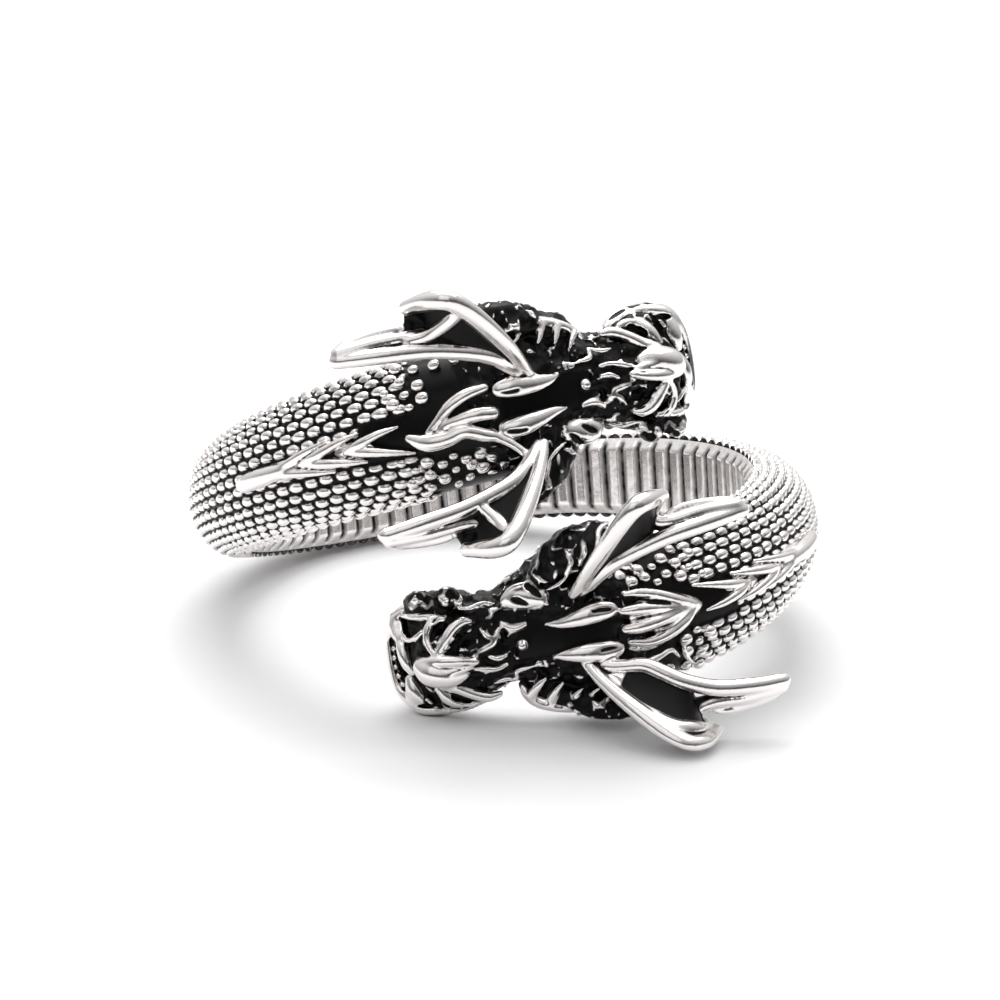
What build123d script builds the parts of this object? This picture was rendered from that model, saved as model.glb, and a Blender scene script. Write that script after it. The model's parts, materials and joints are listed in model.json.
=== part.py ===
from build123d import *
import os
from math import atan, atan2, cos, degrees, pi, radians, sin

# Dragon ring, cast in one piece: a scaled body that winds once round the finger,
# thin at the back, with a dragon's head at each end. The two heads pass each other
# at the front. All sizes are in millimetres and degrees.
#
# The ring is modelled about its own axis first: the finger goes along Z, the heads
# are at -Y, and the back of the band is at +Y. An angle is measured from the back
# of the band, positive towards +X. At the end the ring is laid down as it rests.

# Driving dimensions of the band
finger_radius = 8.95
back_wall = 2.1
neck_wall = 2.5
edge_wall = 0.95
back_half_width = 1.35
neck_half_width = 2.4
edge_bevel = 0.4
wind_rise = 4.2
wind_start = 18
wind_end = 200
bare_neck = 3.0

# Scales, in rows that run along the body, each row shifted by half a scale
scale_length = 0.76
scale_rows = 11
scale_relief = 0.2
dome_angle = 80

# Grooves across the inner wall
groove_pitch = 0.72
groove_width = 0.26
groove_depth = 0.14
groove_end_margin = 0.3
groove_last_angle = 150

# Driving dimensions of a head
head_angle = 180
head_length = 6.0
head_half_width = 2.5
head_height = 2.5
lower_lean = 0.5
upper_lean = -0.5
lean_top = 1.1
outer_fin_share = 0.86

# Driving dimensions of an antler
antler_length = 5.85
antler_spread = 4.45
antler_height = 5.0
rim_radius = 0.27
web_thickness = 0.3

# Driving dimensions of the mane, the row of leaves along the nape
mane_length = 12.2
mane_half_width = 0.5
mane_relief = 0.4

ridge_sides = 5
mid_radius = finger_radius + neck_wall
core_height = -0.5
body_end = head_angle - degrees(bare_neck / mid_radius)


def ease(share):
    """Smooth step from 0 to 1."""
    held = max(0.0, min(1.0, share))
    return held * held * (3 - 2 * held)


def wind(angle):
    """How far the body's midline stands from the middle plane at an angle."""
    share = ease((abs(angle) - wind_start) / (wind_end - wind_start))
    return -wind_rise * share if angle > 0 else wind_rise * share


def half_width(angle):
    return back_half_width + (neck_half_width - back_half_width) * ease(abs(angle) / body_end)


def wall(angle):
    return back_wall + (neck_wall - back_wall) * ease(abs(angle) / body_end)


def on_ring(angle, across, height):
    """The point at an angle, so far across the body and so high above the finger."""
    rise = wind(angle + 1) - wind(angle - 1)
    slope = atan(rise / (radians(2) * mid_radius))
    turn = radians(angle) - sin(slope) * across / mid_radius
    radius = finger_radius + height
    return Vector(radius * sin(turn), radius * cos(turn), wind(angle) + cos(slope) * across)


def triangle(a, b, c):
    return Face(Wire.make_polygon([a, b, c], close=True))


def fan(middle, ring):
    return [triangle(middle, ring[i - 1], ring[i]) for i in range(len(ring))]


def centre_of(points):
    return sum(points, Vector(0, 0, 0)) / len(points)


def skin(rings):
    """A closed solid through rings of points, all with as many points."""
    faces = fan(centre_of(rings[0]), rings[0]) + fan(centre_of(rings[-1]), rings[-1])
    for near, far in zip(rings, rings[1:]):
        for i in range(len(near)):
            faces.append(triangle(near[i - 1], near[i], far[i]))
            faces.append(triangle(near[i - 1], far[i], far[i - 1]))
    return Solid(Shell(faces))


def body():
    """The scaled band as one closed shell. Each scale is a low pyramid on a diamond."""
    half_steps = round(radians(body_end) * mid_radius / (scale_length / 2))
    half_steps += half_steps % 2
    lines = scale_rows + 1
    points = {}

    def node(i, j, relief=0.0):
        if (i, j) not in points:
            angle = body_end * i / half_steps
            lean = radians(dome_angle) * (2 * j / lines - 1)
            flat = cos(radians(dome_angle))
            dome = (cos(lean) - flat) / (1 - flat)
            across = half_width(angle) * sin(lean) / sin(radians(dome_angle)) + relief * sin(lean)
            height = edge_wall + (wall(angle) - edge_wall) * dome + relief * cos(lean)
            points[i, j] = on_ring(angle, across, height)
        return points[i, j]

    def inner(i, side):
        if (i, side) not in points:
            angle = body_end * i / half_steps
            across = half_width(angle) - edge_bevel
            points[i, side] = on_ring(angle, across if side == "top" else -across, core_height)
        return points[i, side]

    faces = []
    for i in range(-half_steps, half_steps + 1):
        for j in range(lines + 1):
            if (i + j) % 2 == 0:
                continue
            corners = [(i - 1, j), (i, j - 1), (i + 1, j), (i, j + 1)]
            ring = [node(*c) for c in corners if abs(c[0]) <= half_steps and 0 <= c[1] <= lines]
            if len(ring) == 4:
                faces += fan(node(i, j, scale_relief), ring)
            elif len(ring) == 3:
                faces.append(triangle(*ring))
    for i in range(-half_steps, half_steps, 2):
        for line, side in ((0, "bottom"), (lines, "top")):
            near, far = node(i, line), node(i + 2, line)
            faces.append(triangle(near, far, inner(i + 2, side)))
            faces.append(triangle(near, inner(i + 2, side), inner(i, side)))
        faces.append(triangle(inner(i, "top"), inner(i + 2, "top"), inner(i + 2, "bottom")))
        faces.append(triangle(inner(i, "top"), inner(i + 2, "bottom"), inner(i, "bottom")))
    for i in (-half_steps, half_steps):
        end = [node(i, j) for j in range(0, lines + 1, 2)] + [inner(i, "top"), inner(i, "bottom")]
        faces += fan(centre_of(end), end)
    return Solid(Shell(faces))


def head_spot(along, across, height, lean):
    """A spot on the right-hand head, as shares of its length, half width and height.
    The lean shifts what lies low on the head to one side."""
    angle = head_angle + degrees(along * head_length / mid_radius)
    shift = lean * (lean_top - height) if height > 0 else 0
    return on_ring(angle, across * head_half_width + shift, height * head_height)


def ridge(spots, radii):
    """A tapering ridge with a crest: a ring of points about each spot, square to its run."""
    rings = []
    for i, (spot, radius) in enumerate(zip(spots, radii)):
        run = (spots[min(i + 1, len(spots) - 1)] - spots[max(i - 1, 0)]).normalized()
        outward = Vector(spot.X, spot.Y, 0).normalized()
        side = run.cross(outward).normalized()
        lift = side.cross(run)
        turns = [pi / 2 + 2 * pi * k / ridge_sides for k in range(ridge_sides)]
        rings.append([spot + side * (radius * cos(t)) + lift * (radius * sin(t)) for t in turns])
    return skin(rings)


# The head's core. Columns: along, half width and height as shares of the head's sizes.
skull_sections = [
    (1.17, 0.44, 0.36),
    (1.06, 0.62, 0.52),
    (0.95, 0.68, 0.84),
    (0.77, 0.80, 0.96),
    (0.58, 0.70, 0.84),
    (0.40, 0.70, 0.74),
    (0.23, 0.88, 0.78),
    (0.05, 1.10, 0.86),
    (-0.17, 1.14, 0.90),
    (-0.42, 1.02, 0.92),
    (-0.75, 0.80, 0.80),
]
# One section across the core. Columns: share of the half width, share of the height.
skull_profile = [(1.0, 0.45), (0.76, 0.84), (0.34, 1.0)]


def skull(lean):
    rings = []
    foot = core_height / head_height
    for along, width, height in skull_sections:
        right = [(width, foot)] + [(width * w, height * h) for w, h in skull_profile]
        ring = right + [(-w, h) for w, h in reversed(right)]
        rings.append([head_spot(along, w, h, lean) for w, h in ring])
    return skin(rings)


# Ridges and lobes of a head. Each row is along, across, height and radius, as shares of
# the head's length, half width, height and height again. These stand on both sides.
paired_ridges = {
    "brow leaf": [(0.13, 0.25, 0.78, 0.03), (0.03, 0.27, 0.90, 0.08), (-0.12, 0.30, 1.0, 0.12),
                  (-0.26, 0.33, 1.02, 0.05)],
    "eye lobe front": [(0.16, 0.44, 0.78, 0.06), (0.30, 0.52, 0.84, 0.12), (0.38, 0.58, 0.78, 0.10)],
    "eye lobe middle": [(0.16, 0.52, 0.80, 0.06), (0.24, 0.68, 0.80, 0.11), (0.31, 0.78, 0.68, 0.09)],
    "eye lobe rear": [(0.13, 0.54, 0.82, 0.06), (0.15, 0.74, 0.80, 0.11), (0.19, 0.88, 0.64, 0.09)],
    "lower lid": [(0.40, 0.33, 0.76, 0.03), (0.33, 0.28, 0.80, 0.06), (0.25, 0.34, 0.80, 0.03)],
    "crest side petal": [(-0.30, 0.20, 0.98, 0.08), (-0.44, 0.32, 1.14, 0.13), (-0.60, 0.28, 1.18, 0.13),
                         (-0.74, 0.12, 1.14, 0.09), (-0.80, 0.02, 1.08, 0.04)],
}
# The fins of the cheeks. Those on the ring's outer side are shorter.
fins = {
    "front": [(0.10, 0.74, 0.66, 0.16), (0.07, 1.06, 0.70, 0.19), (0.03, 1.28, 0.66, 0.08)],
    "middle": [(0.02, 0.80, 0.72, 0.18), (-0.06, 1.20, 0.80, 0.20), (-0.12, 1.42, 0.76, 0.08)],
    "rear": [(-0.10, 0.86, 0.80, 0.18), (-0.20, 1.28, 0.90, 0.20), (-0.29, 1.50, 0.88, 0.08)],
}
single_ridges = {
    "crest middle petal": [(-0.30, 0.0, 1.0, 0.08), (-0.46, 0.0, 1.22, 0.13), (-0.64, 0.0, 1.24, 0.12),
                           (-0.80, 0.0, 1.08, 0.05)],
    "jaw": [(0.60, 0.56, 0.30, 0.12), (0.80, 0.62, 0.28, 0.15), (1.0, 0.57, 0.30, 0.13),
            (1.14, 0.34, 0.33, 0.14), (1.18, -0.05, 0.36, 0.14), (1.14, -0.50, 0.36, 0.15),
            (1.03, -0.84, 0.35, 0.15), (0.80, -0.90, 0.34, 0.16), (0.58, -0.84, 0.34, 0.12)],
    "upper lip": [(1.0, 0.22, 0.74, 0.06), (0.97, -0.08, 0.80, 0.13), (0.91, -0.34, 0.80, 0.13)],
    "nose pad": [(0.93, -0.08, 0.94, 0.14), (0.77, -0.18, 0.98, 0.12), (0.58, -0.12, 0.90, 0.05)],
    "lip strand": [(0.92, -0.28, 0.88, 0.14), (0.77, -0.36, 0.88, 0.11), (0.62, -0.52, 0.76, 0.07),
                   (0.48, -0.68, 0.62, 0.05)],
    "nostril rim": [(0.87, 0.42, 0.88, 0.07), (0.84, 0.06, 0.94, 0.08), (0.75, 0.22, 0.97, 0.08),
                    (0.64, 0.44, 0.86, 0.08), (0.53, 0.36, 0.82, 0.05)],
    "nose bump front": [(0.98, 0.62, 0.62, 0.08), (0.93, 0.68, 0.72, 0.16), (0.86, 0.68, 0.64, 0.09)],
    "nose bump rear": [(0.76, 0.66, 0.62, 0.09), (0.70, 0.72, 0.70, 0.17), (0.64, 0.68, 0.62, 0.09)],
    "brow bead": [(0.32, 0.0, 0.72, 0.03), (0.29, 0.0, 0.76, 0.08), (0.26, 0.0, 0.72, 0.03)],
}


def head_ridge(rows, side, lean):
    spots = [head_spot(a, side * c, h, lean) for a, c, h, r in rows]
    return ridge(spots, [r * head_height for a, c, h, r in rows])


# Where an antler leaves the head, as shares of the head's length, half width and height.
antler_root = (-0.05, 0.40, 0.88)
# The three rims of an antler. Columns: along, across and height, as shares of the way from
# the root to the antler's length, spread and height. The front rim runs to the short tine,
# the back rim to the long one, and the fork rim joins the two tips through the crotch.
front_rim = [(0.0, 0.0, 0.0), (0.18, 0.46, 0.54), (0.35, 0.91, 0.93), (0.47, 0.97, 0.88), (0.62, 0.96, 0.54)]
back_rim = [(0.04, 0.06, 0.0), (0.28, 0.32, 0.39), (0.53, 0.47, 0.61), (0.77, 0.55, 0.82), (0.98, 0.59, 1.0)]
fork_rim = [(0.58, 0.97, 0.63), (0.63, 0.74, 0.39), (0.77, 0.65, 0.71), (0.96, 0.63, 0.97)]


def between(spot, other, share):
    return tuple(a + (b - a) * share for a, b in zip(spot, other))


def antler(side):
    """One antler as three rims, and two webs that lie between them."""
    root_along, root_across, root_height = antler_root
    root = (-root_along * head_length, root_across * head_half_width, root_height * head_height)
    reach = (antler_length, antler_spread, antler_height)

    def spot(shares, drop=0.0):
        along, across, height = (r + s * (e - r) for r, e, s in zip(root, reach, shares))
        return on_ring(head_angle - degrees(along / mid_radius), side * across, height - drop)

    def web(rungs):
        return skin([[spot(a, web_thickness), spot(b, web_thickness), spot(b), spot(a)] for a, b in rungs])

    rims = []
    for rim in (front_rim, back_rim, fork_rim):
        taper = [rim_radius] * (len(rim) - 1) + [rim_radius * 0.7]
        rims.append(ridge([spot(shares) for shares in rim], taper))
    palm = web([(between(front_rim[0], front_rim[1], 0.3), between(back_rim[0], back_rim[1], 0.3)),
                (between(front_rim[1], front_rim[2], 0.2), between(back_rim[1], back_rim[2], 0.2)),
                (between(front_rim[2], front_rim[3], 0.6), between(back_rim[1], back_rim[2], 0.8)),
                (between(fork_rim[0], fork_rim[1], 0.15), between(fork_rim[0], fork_rim[1], 0.9))])
    tine = web([(between(fork_rim[0], fork_rim[1], 0.8), between(back_rim[1], back_rim[2], 0.7)),
                (between(fork_rim[1], fork_rim[2], 0.5), between(back_rim[2], back_rim[3], 0.4)),
                (between(fork_rim[2], fork_rim[3], 0.8), between(back_rim[3], back_rim[4], 0.75))])
    return rims + [palm, tine]


# The mane's leaves. Columns: along, half width and height, as shares of the mane's
# length, half width and relief.
mane_leaves = [
    [(0.36, 0.5, 0.3), (0.44, 1.0, 1.1), (0.55, 0.7, 1.0), (0.61, 0.1, 0.4)],
    [(0.48, 0.6, 0.3), (0.58, 0.9, 1.0), (0.68, 0.7, 0.9), (0.74, 0.1, 0.4)],
    [(0.60, 0.6, 0.3), (0.72, 0.9, 0.9), (0.92, 0.8, 0.8), (1.0, 0.2, 0.3)],
]


def mane_leaf(rows):
    rings = []
    for along, width, relief in rows:
        angle = head_angle - degrees(along * mane_length / mid_radius)
        w = width * mane_half_width
        top = wall(angle) + relief * mane_relief
        base = wall(angle) - mane_relief
        corners = [(-w, base), (w, base), (w, (top + base) / 2), (0, top), (-w, (top + base) / 2)]
        rings.append([on_ring(angle, across, height) for across, height in corners])
    return skin(rings)


def head_pieces(lean):
    pieces = [skull(lean)]
    pieces += [head_ridge(rows, side, lean) for rows in paired_ridges.values() for side in (1, -1)]
    pieces += [head_ridge(rows, side, lean) for rows in fins.values() for side in (1, -outer_fin_share)]
    pieces += [head_ridge(rows, 1, lean) for rows in single_ridges.values()]
    pieces += [piece for side in (1, -1) for piece in antler(side)]
    return pieces + [mane_leaf(rows) for rows in mane_leaves]


with BuildPart() as lower_head:
    add(head_pieces(lower_lean))

with BuildPart() as upper_head:
    add(head_pieces(upper_lean))

with BuildPart() as grooves:
    count = int(2 * radians(groove_last_angle) * finger_radius / groove_pitch)
    for i in range(count + 1):
        angle = groove_last_angle * (2 * i / count - 1)
        length = 2 * (half_width(angle) - edge_bevel - groove_end_margin)
        with Locations(Location(on_ring(angle, 0, 0), (0, 0, -angle))):
            Box(groove_width, 2 * groove_depth, length)

with BuildPart() as ring:
    add(body())
    add(lower_head.part)
    add(upper_head.part.rotate(Axis.Y, 180))
    Cylinder(finger_radius, 6 * (wind_rise + neck_half_width), mode=Mode.SUBTRACT)
    add(grooves.part, mode=Mode.SUBTRACT)


def resting_up(points):
    """The direction that is up when the ring lies on the lower head's jaw, on the same
    head's outer antler and on the back of the band."""
    placed = [(point, degrees(atan2(point.X, point.Y)) % 360) for point in points]
    jaw = [p for p, angle in placed if head_angle < angle < 270 and p.Z < 0]
    antler_side = [p for p, angle in placed if 90 < angle < head_angle and p.Z < -wind_rise]
    back = [p for p, angle in placed if angle > 270]
    up = Vector(0, 0, 1)
    for _ in range(6):
        feet = [min(side, key=lambda p: p.dot(up)) for side in (jaw, antler_side, back)]
        up = (feet[1] - feet[0]).cross(feet[2] - feet[0]).normalized()
        up = up if up.Z > 0 else up * -1
    return up


# The ring lies with the heads to the front, and its origin is at the middle of its
# bounding box, on the surface that it rests on.
up = resting_up([Vector(vertex) for vertex in ring.part.vertices()])
side_way = Vector(0, 1, 0).cross(up)
turned = Plane(origin=(0, 0, 0), x_dir=side_way, z_dir=up)
box = turned.to_local_coords(ring.part).bounding_box()
origin = turned.from_local_coords(Vector(box.center().X, box.center().Y, box.min.Z))
resting = Plane(origin=origin, x_dir=side_way, z_dir=up)

with BuildPart() as dragon_ring:
    add(resting.to_local_coords(ring.part))

os.makedirs("parts", exist_ok=True)
dragon_ring.part.label = "dragon_ring"
export_step(dragon_ring.part, "parts/dragon_ring.step")

finger_middle = resting.to_local_coords(Vector(0, 0, 0))
finger_axis = resting.to_local_coords(Vector(0, 0, 1)) - finger_middle
print("valid", dragon_ring.part.is_valid, "solids", len(dragon_ring.part.solids()))
print("faces", len(dragon_ring.part.faces()), "volume", round(dragon_ring.part.volume, 2))
print("size", dragon_ring.part.bounding_box().size)
print("tilt of the finger's axis", round(up.get_angle(Vector(0, 0, 1)), 2))
print("finger axis", finger_axis, "through", finger_middle)
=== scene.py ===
# %% [markdown]
# # A dragon ring in blackened silver
# The real ring is one casting in silver: a dragon's scaled body that winds once round
# the finger, with a horned head at each end. The two heads pass each other at the front.
# A jeweller would carve it in wax, cast it, blacken it all over and polish the high
# places bright again.
#
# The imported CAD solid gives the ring's size and its place on the floor. This lesson
# dresses it in six pieces: the scaled outside of the band, its ribbed inside, two heads
# and two manes. The band is regular, so its surface can be written as a formula. The
# heads are carved forms that flow into each other, so they are sculpted in digital clay.

# %% The frame, and the ring's own axes
import json

import bpy
import numpy as np
from mathutils import Matrix, Vector


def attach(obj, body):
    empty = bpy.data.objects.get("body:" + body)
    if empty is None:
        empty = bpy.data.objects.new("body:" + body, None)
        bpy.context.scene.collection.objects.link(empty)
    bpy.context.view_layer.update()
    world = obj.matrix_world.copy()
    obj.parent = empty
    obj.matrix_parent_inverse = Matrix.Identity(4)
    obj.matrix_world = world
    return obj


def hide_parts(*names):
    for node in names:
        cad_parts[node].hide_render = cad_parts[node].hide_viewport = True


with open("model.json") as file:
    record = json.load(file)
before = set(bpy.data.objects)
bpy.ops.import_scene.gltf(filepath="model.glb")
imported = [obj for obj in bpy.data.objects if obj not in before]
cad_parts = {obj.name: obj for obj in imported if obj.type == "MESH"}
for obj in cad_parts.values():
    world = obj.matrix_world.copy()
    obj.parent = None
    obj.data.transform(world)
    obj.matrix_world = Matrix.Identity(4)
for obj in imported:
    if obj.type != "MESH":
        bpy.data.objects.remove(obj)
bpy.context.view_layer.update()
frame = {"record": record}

mm = 0.001
finger = frame["record"]["mounts"][0]
finger_radius = finger["dims"]["r_mm"]
finger_mark = 0.12                       # how far the mount's point lies above the middle plane
up_finger = Vector(finger["axis"]).normalized()
to_back = Vector((0, up_finger.z, -up_finger.y)).normalized()
to_right = to_back.cross(up_finger)
ring_axes = np.array([to_right, to_back, up_finger])
ring_middle = np.array(finger["pos_m"]) - finger_mark * mm * np.array(up_finger)


# %% [markdown]
# ## A map from a flat strip to the ring
# The body's midline stays in the ring's middle plane at the back, and runs to one side
# towards each head, so that the heads can pass. It would be hard to model scales on a
# strip that bends in two ways. It is easier to model them on a flat strip and to bend
# every point afterwards.
#
# So a place on the ring is an angle, counted from the back of the band, a distance
# across the body, and a height above the finger, both in mm. One function turns these
# three into a point in the frame. All pieces go through it, so they fit each other.

# %% The band's sizes
back_wall, neck_wall, edge_wall = 2.1, 2.5, 0.95
back_half_width, neck_half_width = 1.35, 2.4
edge_bevel = 0.4
wind_rise, wind_start, wind_end = 4.2, 18, 200
mid_radius = finger_radius + neck_wall
bare_neck = 3.0
body_end = 180 - np.degrees(bare_neck / mid_radius)
print("the body ends", round(body_end, 1), "degrees from the back; outer diameter there", 2 * mid_radius, "mm")

# %% How the body winds and widens
def ease(share):
    """0 below 0, 1 above 1 and a smooth step between them."""
    held = np.clip(share, 0, 1)
    return held * held * (3 - 2 * held)


def wind(angle):
    return -np.sign(angle) * wind_rise * ease((abs(angle) - wind_start) / (wind_end - wind_start))


def half_width(angle):
    return back_half_width + (neck_half_width - back_half_width) * ease(abs(angle) / body_end)


def wall(angle):
    return back_wall + (neck_wall - back_wall) * ease(abs(angle) / body_end)


print("width at the back", 2 * half_width(0), "mm, at the necks", 2 * half_width(body_end), "mm")

# %% From the flat to the ring
def on_ring(angle, across, height):
    """Points in the frame, in metres, from angles in degrees and distances in mm."""
    slope = np.arctan((wind(angle + 1) - wind(angle - 1)) / (np.radians(2) * mid_radius))
    turn = np.radians(angle) - np.sin(slope) * across / mid_radius
    radius = finger_radius + height
    side = wind(angle) + np.cos(slope) * across
    own = np.stack([radius * np.sin(turn), radius * np.cos(turn), side], -1)
    return ring_middle + own * mm @ ring_axes


print("the back of the band lies at", on_ring(0.0, 0.0, back_wall).round(4))


# %% [markdown]
# Every piece is a mesh with one number at each vertex, called polish: 1 where the silver
# is bright and 0 where it is left black. The alternative is to paint an image, but the
# shapes already know which of their places a polishing wheel reaches. The number also
# carries some painted light: a painted shade that greys the inner wall, and a painted
# highlight on the ridges of the black. All pieces ride on the part's one body and take
# the place of its one solid.

# %% Making a piece
def piece(name, points, faces, polish, material):
    mesh = bpy.data.meshes.new(name)
    mesh.from_pydata(points.tolist(), [], faces.tolist())
    mesh.update()
    mesh.shade_smooth()
    mesh.attributes.new("polish", "FLOAT", "POINT").data.foreach_set("value", polish.astype(np.float32))
    mesh.materials.append(material)
    obj = bpy.data.objects.new(name, mesh)
    bpy.context.collection.objects.link(obj)
    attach(obj, "root")
    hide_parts("dragon_ring")
    print(name, len(points), "vertices", len(faces), "faces")


# %% [markdown]
# ## The finish
# The real finish is sterling silver with black oxide. The casting is tumbled smooth,
# dipped in a sulphur bath that turns it black all over, and buffed: the wheel brings
# back bright metal on everything raised and leaves the hollows black. To the eye that is
# a hard contrast, mirror beside soot, with a narrow worn border between them.
#
# One material can hold both, because the oxide is only a skin on the same metal. The
# polish number decides how much of it is left. Silver is a metal, so it is fully
# metallic, keeps the default IOR and is nearly white. Buffed silver has a roughness of 0.1
# to 0.2. The oxide is not metallic, nearly black with a faint brown in it, about 0.3 rough,
# and reflects less at its surface than plastic does, because it is porous.
#
# Two patterns make it less perfect. A buff wears the oxide through in patches of about
# 0.05 mm, and the cast skin has a grain of about 0.03 mm. Both are too fine to show when
# the whole ring is in view, so they are drawn as coarse as they need to be to show.

# %% Colours and nodes
def linear(hex_colour):
    channels = [int(hex_colour[i:i + 2], 16) / 255 for i in (1, 3, 5)]
    return [c / 12.92 if c <= 0.04045 else ((c + 0.055) / 1.055) ** 2.4 for c in channels] + [1]


def add_node(tree, kind, settings=None, links=None):
    """One node, with its settings by name and its inputs linked from other sockets."""
    node = tree.nodes.new(kind)
    for key, value in (settings or {}).items():
        if isinstance(key, int) or key in node.inputs:
            node.inputs[key].default_value = value
        else:
            setattr(node, key, value)
    for key, socket in (links or {}).items():
        tree.links.new(socket, node.inputs[key])
    return node


print("bright silver in linear light", [round(c, 3) for c in linear("#F2EEEC")])

# %% Polished silver with black oxide
bright_silver, black_oxide = "#F2EEEC", "#070506"
silver_roughness, oxide_roughness = 0.19, 0.33
oxide_reflection = 0.15
wear_patch, wear_share = 0.35 * mm, 0.2  # really about 0.05 mm
worn_from, worn_to = 0.45, 0.75          # between these the oxide gives way to bright metal
cast_grain, cast_depth = 0.18 * mm, 0.03 * mm        # really about 0.03 mm across
grain_strength = 0.12


def antique_silver():
    material = bpy.data.materials.new("polished silver with black oxide")
    material.use_nodes = True
    tree = material.node_tree
    tree.nodes.clear()
    place = add_node(tree, "ShaderNodeTexCoord")
    polish = add_node(tree, "ShaderNodeAttribute", {"attribute_name": "polish"})
    patches = add_node(tree, "ShaderNodeTexNoise", {"Scale": 1 / wear_patch, "Detail": 3},
                       {"Vector": place.outputs["Object"]})
    shifted = add_node(tree, "ShaderNodeMath", {"operation": "MULTIPLY_ADD", 1: wear_share},
                       {0: patches.outputs["Fac"], 2: polish.outputs["Fac"]})
    bare = add_node(tree, "ShaderNodeMapRange", {"From Min": worn_from, "From Max": worn_to},
                    {"Value": shifted.outputs[0]})
    colour = add_node(tree, "ShaderNodeMix", {"data_type": "RGBA"}, {"Factor": bare.outputs[0]})
    colour.inputs["A"].default_value = linear(black_oxide)
    colour.inputs["B"].default_value = linear(bright_silver)
    gloss = add_node(tree, "ShaderNodeMapRange", {"To Min": oxide_roughness, "To Max": silver_roughness},
                     {"Value": bare.outputs[0]})
    grain = add_node(tree, "ShaderNodeTexNoise", {"Scale": 1 / cast_grain, "Detail": 2},
                     {"Vector": place.outputs["Object"]})
    dents = add_node(tree, "ShaderNodeBump", {"Strength": grain_strength, "Distance": cast_depth},
                     {"Height": grain.outputs["Fac"]})
    shader = add_node(tree, "ShaderNodeBsdfPrincipled", {"Specular IOR Level": oxide_reflection}, {
        "Base Color": colour.outputs["Result"], "Roughness": gloss.outputs[0],
        "Metallic": bare.outputs[0], "Normal": dents.outputs[0]})
    add_node(tree, "ShaderNodeOutputMaterial", {}, {"Surface": shader.outputs[0]})
    print(material.name, "has", len(tree.nodes), "nodes")
    return material


silver = antique_silver()


# %% [markdown]
# ## The outside of the band
# On the real ring the dragon's body is covered with small rounded scales in rows along
# it, each row shifted by half a scale, as bricks are. They are worn bright on top, with
# black between them. Towards the head they turn into loose beads and sink into the neck.
#
# Hundreds of separate beads would be heavy and would have to be joined to the band. This
# is one fine grid instead. Across the body it follows the rounded section of the wall,
# and each scale is a dome that a formula raises from it. The formula also says how high
# each point lies on its scale, and that height is its polish.
#
# A hand-made model isn't perfectly regular, so every scale has a slightly different size
# and place, worked out from its row and column.

# %% Sizes of the scales
scale_length, scale_rows, scale_relief = 0.68, 15, 0.20
scale_sunk = 0.35                        # share of the relief that lies below the plain wall
scale_squareness = 2.3                   # 2 is an ellipse, and more has fuller corners
scale_size, size_change, place_change = 0.98, 0.10, 0.16
side_rows = 1.5                          # rows that run on over the band's side face
points_per_scale = 7
dome_angle = np.radians(80)
band_reach = 172
scales_along = 2 * round(np.radians(band_reach) * mid_radius / scale_length)
print("scales:", scales_along, "along by", scale_rows, "across, each", scale_length, "mm long")


# %% One scale after another
def scale_domes(along, row):
    """Height on the scale at each point, 1 at its top and 0 between the scales."""
    column = along * scales_along / 2 + 0.5 * (np.floor(row) % 2)
    # One number from 0 to 1 for each scale. It looks random, and is the same in every run.
    chance = np.sin(np.floor(row) * 12.9 + np.floor(column) * 78.2) * 43.7 % 1
    x = 2 * (column % 1) - 1 + place_change * (chance - 0.5)
    y = 2 * (row % 1) - 1 + place_change * (chance * 7 % 1 - 0.5)
    size = scale_size - size_change * (chance * 3 % 1)
    reach = np.abs(x / size) ** scale_squareness + np.abs(y / size) ** scale_squareness
    return np.sqrt(np.clip(1 - (reach ** (1 / scale_squareness)) ** 2, 0, 1))


# %% [markdown]
# The scales stop 4.3 mm before the front, under the head, and on a bare patch in the
# middle of the nape, where the crest lies. Round the back the gaps between them are
# brighter, and more so on the right, as they are where a ring rubs.

# %% The grid of the band
scales_stop, scales_sink = 4.3, 0.8      # mm from the front where the scales end, and how fast
nape_half_width, nape_length = 0.26, 6.9
nape_shift, nape_edge, nape_end = 0.03, 0.08, 0.5
least_wear, more_wear = 0.08, 0.42       # how bright the gaps are on the left, and how much more on the right


def scaled_band():
    reach_around = 1 + 2 * side_rows / scale_rows
    columns = int((scale_rows + 2 * side_rows) * points_per_scale) + 1
    along, around = np.meshgrid(np.linspace(-1, 1, scales_along * points_per_scale + 1),
                                np.linspace(-reach_around, reach_around, columns), indexing="ij")
    angle = along * band_reach
    scale = scale_domes(along, (around + 1) / 2 * scale_rows)
    from_middle = (180 - abs(angle)) / 180 * np.pi * mid_radius
    fade = ease((from_middle - scales_stop) / scales_sink)
    nape = ease((nape_half_width - abs(around + nape_shift)) / nape_edge)
    nape = nape * ease((nape_length - from_middle) / nape_end)
    fade = fade * (1 - nape)
    top = np.clip(around, -1, 1)
    over = (abs(around) - abs(top)) / (reach_around - 1)
    lean = top * dome_angle
    flat = np.cos(dome_angle)
    dome = (np.cos(lean) - flat) / (1 - flat)
    relief = scale_relief * (scale * fade - scale_sunk)
    across = half_width(angle) * np.sin(lean) / np.sin(dome_angle) + relief * np.sin(lean)
    height = edge_wall + (wall(angle) - edge_wall) * dome + relief * np.cos(lean)
    height -= over * (edge_wall - edge_bevel + 0.02)
    points = on_ring(angle, across, height).reshape(-1, 3)
    worn = (least_wear + more_wear * ease((angle + 80) / 160)) * ease((150 - abs(angle)) / 60)
    polish = (ease((scale - 0.3) / 0.4) * fade + worn).ravel()
    return points, grid_faces(*angle.shape), polish


def grid_faces(rows, columns):
    corner = np.arange((rows - 1) * columns).reshape(rows - 1, columns)[:, :-1].ravel()
    return np.stack([corner, corner + 1, corner + columns + 1, corner + columns], -1)


piece("scaled_band", *scaled_band(), silver)
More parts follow.
